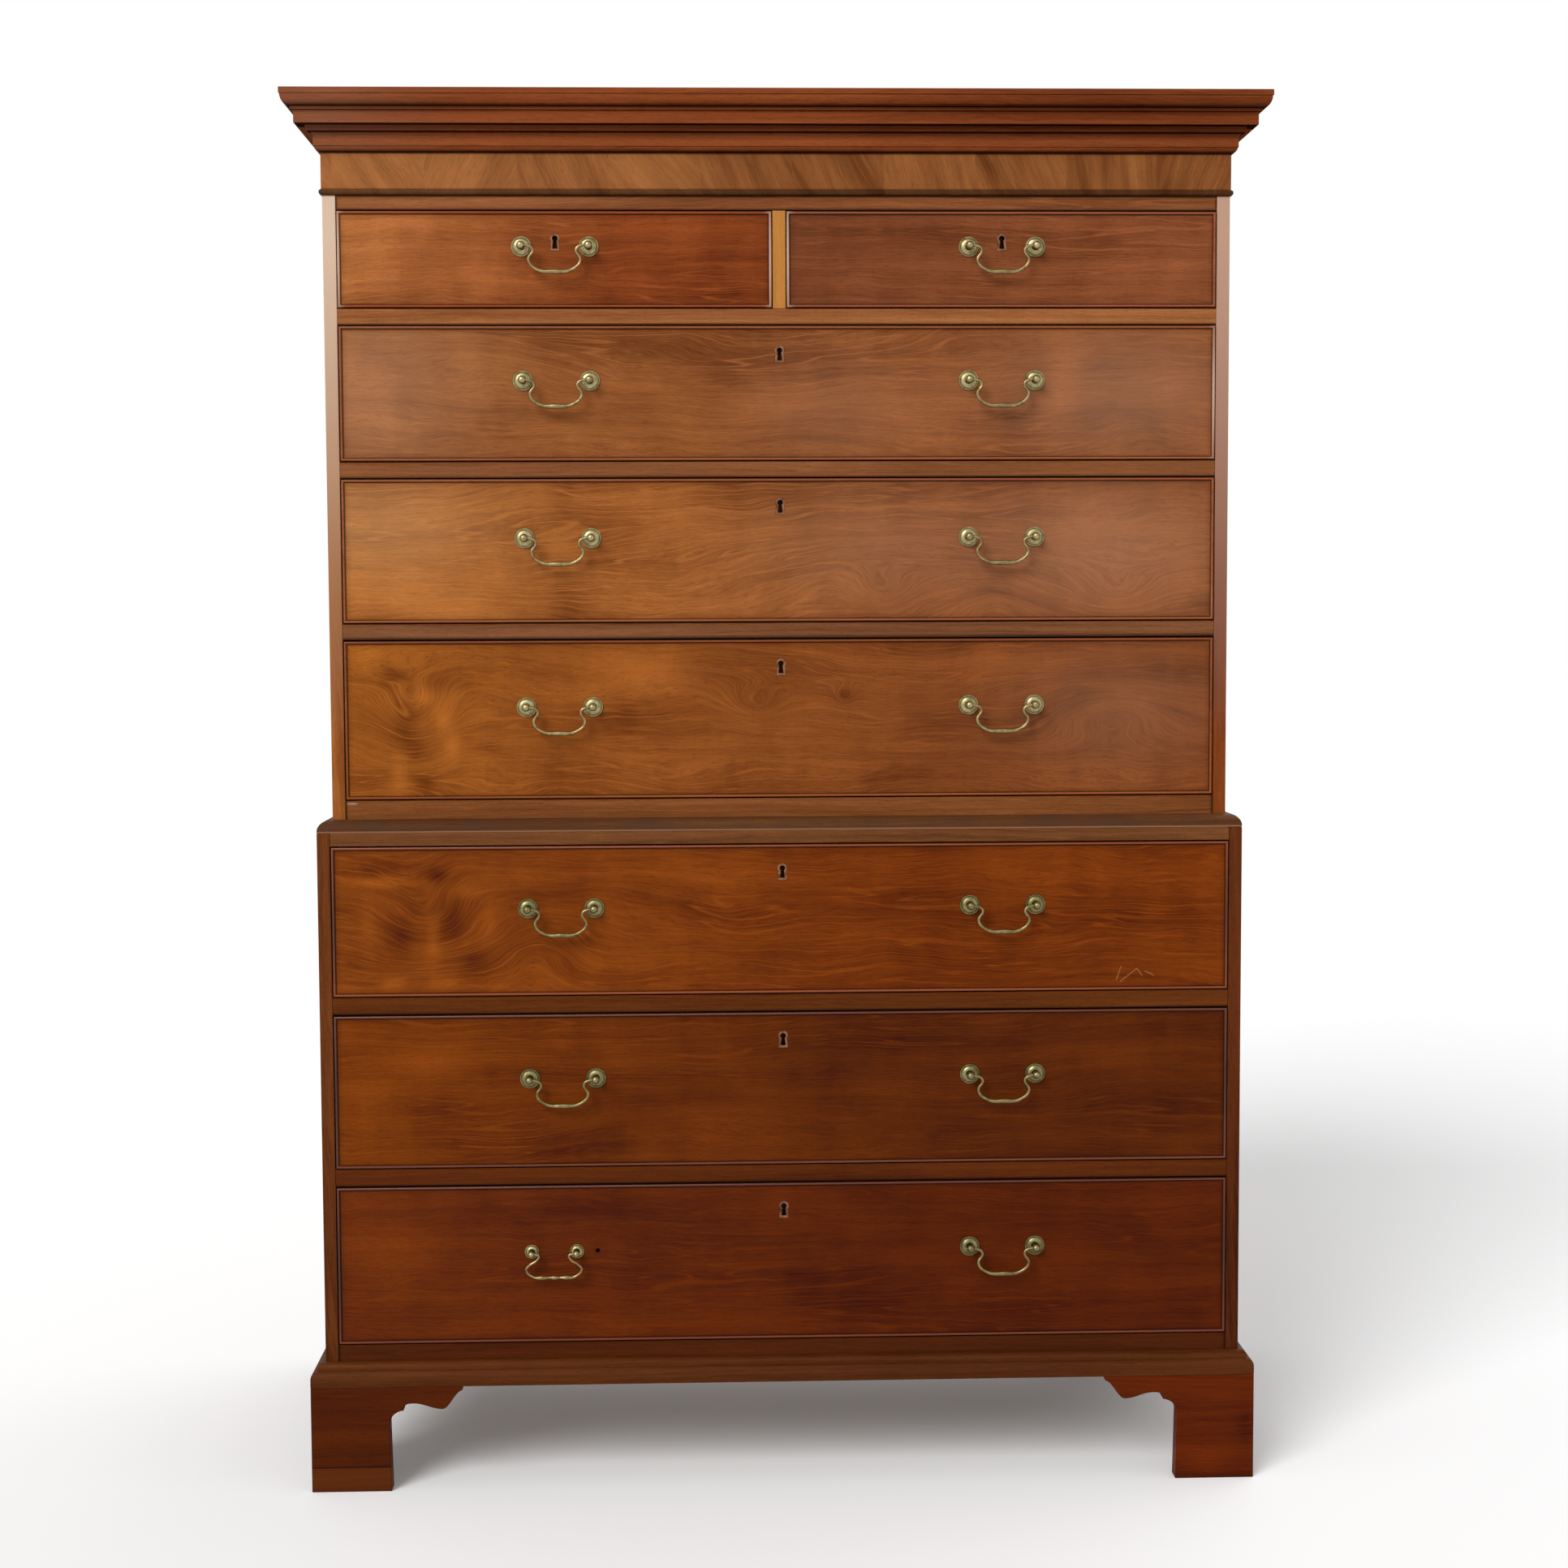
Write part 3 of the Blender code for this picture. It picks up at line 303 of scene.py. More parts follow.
LOWER_HALF, LOWER_FRONT, BACK = 0.573, -0.257, 0.283
PINE_DARK, PINE_LIGHT = linear("#74492a"), linear("#b27f4c")
FACING = 0.024
# Bands along a rail's front edges: a narrow near-black one of painted shadow in the drawer gap, and a wider,
# faint one of soot.
RAIL_GAP_SHADE_AND_SOOT = ((0.0030, 0.95), (0.006, 0.20))

for side, seed, code, low_front_shade in (("left", 1.3, "#6c3718", -0.50), ("right", 2.1, "#612d12", -0.30)):
    # Waxed solid mahogany: long straight bands up the side, with a soft sheen and darker pores. Painted shade
    # darkens its front edge towards the floor.
    board = wood(f"waxed_mahogany_lower_{side}", *tones(code), run="Z", seed=seed, bend=0.03, lie=0.03,
                 clouds=(((0, LOWER_FRONT, 0.20), (9, 0.01, 0.25), low_front_shade),))
    eased(f"lower_side_{side}", f"lower_side_board_{side}", board, "dark_mahogany")

for node, code, seed in (
    ("lower_bottom_board", "#4c1f06", 3.7),
    ("lower_divider_under_row_6", "#5c2809", 4.9),
    ("lower_divider_under_row_5", "#622f0e", 5.3),
):
    # Straight-grained mahogany facing glued to a pine core. Its edges carry painted shadow of the drawer gaps
    # and a wider band of soot.
    facing = wood(f"faced_pine_{node}", *tones(code), seed=seed, bend=0.015,
                  core=(LOWER_FRONT + FACING, PINE_DARK, PINE_LIGHT))
    edge_soot_and_shade(facing, *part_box(node), LOWER_FRONT, RAIL_GAP_SHADE_AND_SOOT)
    eased(node, f"{node}_rail", facing, "dark_mahogany")


# Backs of both cases
# Pine planks nailed upright between the sides, with a bead of shadow at each joint.
# Sawn and left unpolished, they have gone grey-brown with dust.

PLANKS = 6
# Wide growth bands, soft early wood between them, and saw fibres drawn twice as wide to show.
SAWN_PINE = {
    "dark": linear("#78492a"),
    "light": linear("#bd8956"),
    "layers": ((0.60, 0.16, 2, 0.7), (2.20, 0.011, 3, 1.1), (0.05, 0.0020, 1, 0.35)),
    "roughness": 0.72,
    "polish": 0.12,
}

for case, half, first in (("lower", 0.5567, 0), ("upper", 0.5392, 20)):
    # Dry sawn pine in six planks, each a little darker or paler than the next.
    planks = wood(f"sawn_pine_{case}_back", **SAWN_PINE, run="Z", bend=0.03, seed=6.1 + half)
    tree = planks.node_tree
    count = {0: coordinates(tree)["X"], 1: PLANKS / (2 * half), 2: first + PLANKS / 2}
    number = add(tree, "Math", {0: add(tree, "Math", count, operation="MULTIPLY_ADD")}, operation="FLOOR")
    plank = add(tree, "TexWhiteNoise", {"W": number}, noise_dimensions="1D")
    tinted(planks, add(tree, "MapRange", {"Value": plank, "To Min": 0.72, "To Max": 1.12}))
    frame["nodes"][f"{case}_backboard"].data.materials[0] = planks


# Base moulding
# A mahogany moulding planted round the foot of the lower case and mitred at the corners.
# It is a flat fascia, an ovolo, a small fillet and a bead against the case.

FLOOR_TO_BASE = 0.132
BASE_PROUD, BASE_HEIGHT = 0.017, 0.029
# Gap that keeps pieces that are planted or slid together clear of each other.
FIT = 0.0003


def rounded(start, end, rises=False, steps=8):
    """Points of a quarter round after start, which first runs along or first rises."""
    (a0, b0), (a1, b1) = start, end
    points = []
    for step in range(1, steps + 1):
        turn = math.pi / 2 * step / steps
        slow, fast = 1 - math.cos(turn), math.sin(turn)
        along, up = (slow, fast) if rises else (fast, slow)
        points.append((a0 + (a1 - a0) * along, b0 + (b1 - b0) * up))
    return points


def section(start, runs):
    """Points of a moulding's outline from start on, by runs (kind, outward, up): step, ovolo or cove."""
    points = [start]
    for kind, out, up in runs:
        end = (start[0] + out, start[1] + up)
        rises = (kind == "cove") == (out > 0)
        points += [end] if kind == "step" else rounded(start, end, rises)
        start = end
    return points


def soffit_shade(material, front, strength):
    """Paints shade on what faces down along the front, and takes the sheen off it."""
    tree = material.node_tree
    down = add(tree, "SeparateXYZ", {0: add(tree, "NewGeometry", {}).outputs["Normal"]}).outputs["Z"]
    share = {"Value": down, "From Min": -0.98, "From Max": -0.70, "To Min": strength, "To Max": 0.0}
    ahead = add(tree, "Math", {0: coordinates(tree)["Y"], 1: front}, operation="LESS_THAN")
    laid_over(material, add(tree, "Math", {0: add(tree, "MapRange", share), 1: ahead}, operation="MULTIPLY"))
    polish = tree.nodes["Principled BSDF"].inputs["Specular IOR Level"]
    bare = add(tree, "MapRange", {**share, "To Min": 0.0, "To Max": polish.default_value})
    tree.links.new(bare.outputs[0], polish)


def lofted(bm, loops, closed=False):
    """Joins each loop of points to the next, and covers both ends unless it closes on itself."""
    rows = [[bm.verts.new(point) for point in loop] for loop in loops]
    for row, after in zip(rows, rows[1:] + rows[:1] if closed else rows[1:]):
        for i in range(len(row)):
            bm.faces.new((row[i - 1], row[i], after[i], after[i - 1]))
    if not closed:
        bm.faces.new(rows[0])
        bm.faces.new(rows[-1])
    bmesh.ops.recalc_face_normals(bm, faces=bm.faces)


def mitred(profile, half, front, arris=0.0003):
    """A moulding round the front and both sides; profile points are (outward, height)."""
    corners = ((-1, BACK, 0), (-1, front, -1), (1, front, -1), (1, BACK, 0))
    bm = bmesh.new()
    lofted(bm, [[(side * (half + out), y + forward * out, z) for out, z in profile]
                for side, y, forward in corners])
    ease(bm, arris)
    return bm


outline = [(FIT, FLOOR_TO_BASE)] + section((BASE_PROUD, FLOOR_TO_BASE), (
    ("step", 0, 0.0105),
    ("ovolo", -0.0065, 0.0090),
    ("step", -0.0010, 0),
    ("step", 0, 0.0030),
    ("ovolo", -0.0070, 0.0065),
)) + [(FIT, FLOOR_TO_BASE + BASE_HEIGHT)]
# Dark, handled mahogany with long straight grain that turns with the mitre, and painted shade on the faces
# that look down.
base_wood = wood("dark_moulded_mahogany", *tones("#562a10"), mitre=(LOWER_HALF, LOWER_FRONT), seed=7.7,
                 bend=0.02)
soffit_shade(base_wood, LOWER_FRONT, 0.7)
piece("base_moulding_run", mitred(outline, LOWER_HALF, LOWER_FRONT), base_wood, "carcase",
      "dark_mahogany", "base_moulding")


# Bracket feet
# Two shaped mahogany boards mitred at each corner, with a pine glue block in the angle.
# They are sawn to a cove, a cusp and a lobe. The left front toe was pieced out with a splice.

FOOT_HEIGHT = 0.1317
FOOT_THICKNESS = 0.022
FOOT_CORNER, FOOT_FRONT = 0.590, -0.274
SPLICE = 0.031
BLOCK, BLOCK_BOTTOM, BLOCK_TOP = 0.036, 0.005, 0.1305


def bracket_outline():
    """The shaped bracket as (distance from the corner, height)."""
    points = [(0, 0), (0.099, 0), (0.097, 0.084)]
    points += rounded((0.097, 0.084), (0.115, 0.102), rises=True)
    points.append((0.115, 0.107))
    points += rounded((0.115, 0.107), (0.127, 0.111), rises=True, steps=5)
    for step in range(1, 11):
        fall = (1 - math.cos(math.pi * step / 10)) / 2
        points.append((0.127 + 0.0036 * step, 0.111 - 0.0075 * fall))
    for step in range(1, 11):
        rise = (1 - math.cos(math.pi * step / 10)) / 2
        points.append((0.163 + 0.0025 * step, 0.1035 + (FOOT_HEIGHT - 0.1085) * rise))
    return points + [(0.188, FOOT_HEIGHT), (0, FOOT_HEIGHT)]


def boards(blocks, arris=ARRIS):
    """Plain boards, each between two opposite corners, with eased arrises."""
    bm = bmesh.new()
    for (x0, y0, z0), (x1, y1, z1) in blocks:
        lofted(bm, [((x0, y0, z), (x1, y0, z), (x1, y1, z), (x0, y1, z)) for z in (z0, z1)])
    ease(bm, arris)
    return bm


plain_outline = [(0, 0), (0.060, 0), (0.150, FOOT_HEIGHT - 0.005), (0.150, FOOT_HEIGHT), (0, FOOT_HEIGHT)]
# Sawn pine with the grain upright, rough and dusty.
pine_block = wood("sawn_pine_block", **SAWN_PINE, run="Z", seed=8.3)

for end, corner_y, inward in (("front", FOOT_FRONT, 1), ("rear", BACK, -1)):
    for label, side in (("left", -1), ("right", 1)):
        bm = bmesh.new()
        corner_x = side * FOOT_CORNER
        for board in ("across", "along"):
            outline = plain_outline if end == "rear" and board == "across" else bracket_outline()
            rims = []
            for depth in (0, FOOT_THICKNESS):
                rim = []
                for s, h in outline:
                    first, second = max(s, depth), depth
                    if board == "along":
                        first, second = second, first
                    rim.append(bm.verts.new((corner_x - side * first, corner_y + inward * second, h)))
                rims.append(rim)
            for i in range(len(outline) - 1):
                bm.faces.new((rims[0][i], rims[0][i + 1], rims[1][i + 1], rims[1][i]))
            bm.faces.new(rims[0])
            bm.faces.new(rims[1])
        bmesh.ops.remove_doubles(bm, verts=bm.verts, dist=0.00001)
        bmesh.ops.recalc_face_normals(bm, faces=bm.faces)
        ease(bm, 0.0008)
        name = f"{end}_foot_{label}"
        # Scuffed dark mahogany, dull, and darker towards the floor. The right toe is rubbed, with a dark
        # stain.
        code, marks = "#501e02" if label == "left" else "#5d2003", ()
        if name == "front_foot_right":
            marks = (((0.580, corner_y, 0.069), (0.013, 1, 0.026), -0.30),
                     ((0.531, corner_y, 0.024), (0.030, 1, 0.016), 0.40))
        foot_wood = wood(f"scuffed_mahogany_{name}", *tones(code), mitre=(FOOT_CORNER, FOOT_FRONT),
                         seed=9.1 + side, bend=0.04, clouds=marks, roughness=0.5)
        tree = foot_wood.node_tree
        height = coordinates(tree)["Z"]
        darkening = add(tree, "MapRange", {"Value": height, "From Max": 0.010, "To Min": 0.3, "To Max": 0.0})
        if name == "front_foot_left":
            # The toe is pieced in lighter wood, with a dark joint.
            toe = add(tree, "Math", {0: height, 1: SPLICE}, operation="LESS_THAN")
            laid_over(foot_wood, toe, "#703814", 0.4)
            away = add(tree, "Math", {0: height, 1: SPLICE}, operation="SUBTRACT")
            line = add(tree, "Math", {0: away, 1: 0.0, 2: 0.0006}, operation="COMPARE")
            darkening = add(tree, "Math", {0: darkening, 1: line}, operation="MAXIMUM")
        laid_over(foot_wood, darkening)
        piece(f"{name}_brackets", bm, foot_wood, "carcase", "dark_mahogany", name)
        near, far = FOOT_THICKNESS + 0.0002, FOOT_THICKNESS + BLOCK
        block = boards([((corner_x - side * near, corner_y + inward * near, BLOCK_BOTTOM),
                         (corner_x - side * far, corner_y + inward * far, BLOCK_TOP))], 0.001)
        piece(f"{name}_glue_block", block, pine_block, "carcase", "carcase_pine")


# Top of the lower case
# A board lapped over the sides, with the top rail under its front edge.
# The waist moulding is planted on it round the foot of the upper case, and is worn grey by dusting.

LOWER_TOP = 0.822
WAIST_TOP = LOWER_TOP + 0.016
INSET, GLUE = 0.0175, 0.0001
seat = LOWER_TOP + FIT
outline = [(-INSET + FIT, seat), (0, seat), (0, seat + 0.002)]
outline += rounded((0, seat + 0.002), (-INSET + 0.002, WAIST_TOP), rises=True, steps=10)
outline += [(-INSET + FIT, WAIST_TOP)]
# Long-grained mahogany whose polish has gone thin and grey.
waist_wood = wood("dusty_waist_mahogany", *tones("#5a341c"), mitre=(LOWER_HALF, LOWER_FRONT), seed=10.3,
                  bend=0.02, roughness=0.5)
tree = waist_wood.node_tree
place = add(tree, "TexCoord", {}).outputs["Object"]
height = add(tree, "SeparateXYZ", {0: place}).outputs["Z"]
# Grey dust lies in drifts of about 60 mm on the slope, and the lower arris is rubbed pale.
drifts = add(tree, "TexNoise", {"Vector": place, "Scale": 1 / 0.06, "Detail": 3.0})
dust = {"Value": drifts, "From Min": 0.40, "From Max": 0.65, "To Max": 0.7}
rubbed = {"Value": height, "From Min": seat + 0.0012, "From Max": seat + 0.0026, "To Min": 0.6, "To Max": 0.0}
laid_over(waist_wood, add(tree, "MapRange", dust), "#4d3323")
laid_over(waist_wood, add(tree, "MapRange", rubbed), "#a87b5c")
piece("waist_moulding", mitred(outline, LOWER_HALF, LOWER_FRONT), waist_wood, "carcase", "dark_mahogany",
      "lower_top_board")
# Straight-grained mahogany facing glued to a pine core.
top_wood = wood("faced_pine_lower_top", *tones("#764628"), seed=11.9, bend=0.02,
                core=(LOWER_FRONT + FACING, PINE_DARK, PINE_LIGHT))
reach, slab = LOWER_HALF - 0.0163, LOWER_HALF - INSET - GLUE
rail = ((-reach, LOWER_FRONT, LOWER_TOP - 0.016), (reach, 0.2717, seat))
bed = ((-slab, LOWER_FRONT + INSET + GLUE, seat + GLUE), (slab, BACK, LOWER_TOP + 0.004))
piece("lower_top_rail", boards([rail, bed]), top_wood, "carcase", "dark_mahogany")


# Upper case
# Narrower sides and dividers of lighter mahogany, housed as below, under a plain top board.
# The front edges of the sides turn pale towards the cornice.

UPPER_HALF, UPPER_FRONT = 0.5555, -0.2395
# The top rail is darker towards its right end.
RAIL_SHADE = (((0.50, UPPER_FRONT, 1.590), (0.30, 1, 0.030), -0.22),)

for label, seed, code, pale, mid in (("left", 12.7, "#9d592a", "#e6cab0", "#b07b55"),
                                     ("right", 13.1, "#7a3a16", "#caa18a", "#976955")):
    # Mahogany whose front edge is pale and pinkish towards the top, warm brown below.
    side_wood = wood(f"pale_edged_mahogany_{label}", *tones(code), run="Z", seed=seed, bend=0.03, lie=0.03)
    tree = side_wood.node_tree
    _, y, z = coordinates(tree)
    edge = add(tree, "Math", {0: y, 1: UPPER_FRONT + 0.002}, operation="LESS_THAN")
    for code, low, high in ((mid, 0.93, 1.15), (pale, 1.15, 1.55)):
        rise = add(tree, "MapRange", {"Value": z, "From Min": low, "From Max": high, "To Max": 0.93})
        laid_over(side_wood, add(tree, "Math", {0: rise, 1: edge}, operation="MULTIPLY"), code)
    eased(f"upper_side_{label}", f"upper_side_board_{label}", side_wood, "light_mahogany")

for node, code, seed, darkening in (
    ("upper_bottom_board", "#824a27", 14.3, RAIL_GAP_SHADE_AND_SOOT),
    # Under row 3 the band of painted shadow is wider, over the deep gap above drawer 4.
    ("upper_divider_under_row_3", "#7e4c31", 15.7, ((0.0050, 0.99), (0.006, 0.20))),
    ("upper_divider_under_row_2", "#8a5232", 16.1, RAIL_GAP_SHADE_AND_SOOT),
    ("upper_divider_under_row_1", "#a1613a", 17.9, RAIL_GAP_SHADE_AND_SOOT),
    ("upper_top_board", "#975936", 18.3, RAIL_GAP_SHADE_AND_SOOT),
):
    # Straight-grained mahogany facing glued to a pine core. Its edges carry painted shadow of the drawer gaps
    # and a wider band of soot.
    facing = wood(f"faced_pine_{node}", *tones(code), seed=seed, bend=0.02, clouds=RAIL_SHADE,
                  core=(UPPER_FRONT + FACING, PINE_DARK, PINE_LIGHT))
    edge_soot_and_shade(facing, *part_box(node), UPPER_FRONT, darkening)
    if node == "upper_bottom_board":
        # A chip at the left end shows bare wood.
        tree = facing.node_tree
        near = spot(tree, (-0.531, UPPER_FRONT, 0.8575), (0.008, 1, 0.0014))
        chip = add(tree, "MapRange", {"Value": near, "From Min": 0.4, "From Max": 0.6})
        laid_over(facing, chip, "#a58772")
    eased(node, f"{node}_rail", facing, "light_mahogany")

# The upright between the short drawers is a lighter, yellow stick of satinwood colour.
yellow = tones("#c0803d", (0.75, 0.7, 0.6), (1.25, 1.3, 1.3))
partition_wood = wood("yellow_mahogany_partition", *yellow, run="Z", seed=19.1, bend=0.02,
                      core=(UPPER_FRONT + FACING, PINE_DARK, PINE_LIGHT))
eased("short_drawer_partition", "short_drawer_upright", partition_wood, "light_mahogany")


# Cornice
# A frieze frame veneered across the grain, with an astragal at its foot, under built-up mouldings.
# It lifts off in one piece, mitred at the front corners and open at the top.

CORNICE_BASE = 1.5993
FRIEZE_THICKNESS, FRIEZE_PROUD, FRIEZE_HEIGHT = 0.018, 0.001, 0.051
ASTRAGAL, ASTRAGAL_PROUD = 0.0035, 0.0025
outline = [(-FRIEZE_THICKNESS, CORNICE_BASE), (0, CORNICE_BASE)]
for step in range(1, 12):
    turn = math.pi * step / 12
    outline.append((FRIEZE_PROUD + ASTRAGAL_PROUD * math.sin(turn),
                    CORNICE_BASE + ASTRAGAL * (1 - math.cos(turn))))
frieze_top = CORNICE_BASE + FRIEZE_HEIGHT
outline += [(FRIEZE_PROUD, CORNICE_BASE + 2 * ASTRAGAL), (FRIEZE_PROUD, frieze_top),
            (-FRIEZE_THICKNESS, frieze_top)]
# Sawn mahogany veneer laid upright in short lengths: each has its own slant of light and dark.
VENEER_LAYERS = ((0.12, 0.030, 2, 1.20), (0.40, 0.012, 2, 0.55), (0.03, 0.0014, 1, 0.45))
frieze_wood = wood("cross_banded_frieze_veneer", *tones("#8f552e"), run="Z", leaves=0.112, bend=0.04,
                   clouds=(((-0.50, UPPER_FRONT, 1.63), (0.22, 1, 0.05), 0.40),
                           ((-0.17, UPPER_FRONT, 1.63), (0.05, 1, 0.05), 0.25)),
                   layers=VENEER_LAYERS)
frieze_low, frieze_high = Vector((-9, 0, CORNICE_BASE + 0.0065)), Vector((9, 0, frieze_top))
# Painted shade darkens the frieze along its top and bottom edges, in the creases under the mouldings and over
# the astragal.
edge_soot_and_shade(frieze_wood, frieze_low, frieze_high, BACK, ((0.0025, 0.7),))


def bare_inside(material):
    """Unpolished wood on the inner faces of the cornice, which no polisher reached."""
    tree = material.node_tree
    x, y, _ = coordinates(tree)
    width = add(tree, "Math", {0: x}, operation="ABSOLUTE")
    within = add(tree, "Math", {0: width, 1: UPPER_HALF - FRIEZE_THICKNESS + 0.0005}, operation="LESS_THAN")
    behind = add(tree, "Math", {0: y, 1: UPPER_FRONT + FRIEZE_THICKNESS - 0.0005}, operation="GREATER_THAN")
    hidden = add(tree, "Math", {0: within, 1: behind}, operation="MULTIPLY")
    laid_over(material, hidden, "#8a6540", 0.75)


bare_inside(frieze_wood)
piece("frieze_and_astragal", mitred(outline, UPPER_HALF, UPPER_FRONT), frieze_wood, "carcase",
      "cornice_mahogany", "cornice")

moulding_foot = frieze_top + GLUE
outline = [(-FRIEZE_THICKNESS, moulding_foot)] + section((FRIEZE_PROUD, moulding_foot), (
    ("ovolo", 0.0065, 0.0065),
    ("step", 0.001, 0),
    ("step", 0, 0.0125),
    ("cove", 0.004, 0.004),
    ("step", 0.002, 0),
    ("ovolo", 0.002, 0.002),
    ("step", 0, 0.005),
    ("step", 0.012, 0),
    ("step", 0, 0.012),
    ("cove", 0.0035, 0.0035),
    ("step", 0, 0.0035),
    ("step", 0.0015, 0),
    ("ovolo", 0.009, 0.0135),
    ("step", 0.001, 0),
    ("step", 0, 0.0069),
))
outline.append((-FRIEZE_THICKNESS, outline[-1][1]))


def painted_sheen(material, centre, spread, weight):
    """A painted sheen of reflected light round one place, pale and a little mauve."""
    laid_over(material, spot(material.node_tree, centre, spread), "#bb9176", weight)


# Long-grained moulded mahogany, with painted highlight bands on the flat band and the corona, a painted
# sheen at the left end, and painted shade on its downward faces.
painted_highlight_bands = [((0, 0, height), (9, 9, 0.006), highlight) for height, highlight in ((1.664, 0.50), (1.687, 0.10))]
cornice_wood = wood("moulded_cornice_mahogany", *tones("#85401f"), mitre=(UPPER_HALF, UPPER_FRONT),
                    seed=21.3, bend=0.015, clouds=painted_highlight_bands)
painted_sheen(cornice_wood, (-0.57, UPPER_FRONT, 1.69), (0.12, 1, 0.06), 0.16)
soffit_shade(cornice_wood, UPPER_FRONT, 0.9)
bare_inside(cornice_wood)
piece("cornice_mouldings", mitred(outline, UPPER_HALF, UPPER_FRONT), cornice_wood, "carcase",
      "cornice_mahogany")
rail_reach = UPPER_HALF - FRIEZE_THICKNESS - 0.0002
# Sawn pine with the grain along the rail.
pine_rail = wood("sawn_pine_rail", **SAWN_PINE, seed=20.3)
piece("cornice_back_rail", boards([((-rail_reach, BACK - FRIEZE_THICKNESS, CORNICE_BASE + 0.001),
                                    (rail_reach, BACK - 0.001, CORNICE_BASE + 0.090))]),
      pine_rail, "carcase", "carcase_pine")


# Drawer fronts
# Solid mahogany boards, rebated round the edge for a cock bead and lap-dovetailed to their linings.
# The rows were sawn from figured boards above and plainer, darker ones below, and waxed for two centuries.

FRONT_THICKNESS = 0.021
LOCK_DEPTH = 0.010
DRAWER_GAP = 0.0012
BEAD_WIDTH, BEAD_PROUD, BEAD_REBATE = 0.0034, 0.0024, 0.010
LINING_THICKNESS = 0.009
# Distance between dovetails, the pins between them, their flare, and the wood left in front.
TAIL_PITCH, PIN_WIDTH, FLARE, LAP = 0.046, 0.0075, 0.0022, 0.006
GROOVE_RISE, GROOVE_HEIGHT, GROOVE_DEPTH = 0.0090, 0.0076, 0.004
LOCK_DROP, SHORT_LOCK_DROP = 0.031, 0.034
THREAD_WALL = 0.0034
OLD_HOLE_X, OLD_HOLE_Z, OLD_HOLE = -0.23275, 0.297, 0.003
LOWER_DRAWERS = ("drawer_5", "drawer_6", "drawer_7")

# Soft clouds, mottle across the grain, growth bands, streaks, and fibres drawn three times as wide.
FIGURED_LAYERS = (
    (0.16, 0.080, 2, 0.95),
    (0.045, 0.100, 2, 0.50),
    (0.90, 0.020, 3, 0.70),
    (0.20, 0.0045, 2, 0.45),
    (0.022, 0.0013, 1, 0.60),
)

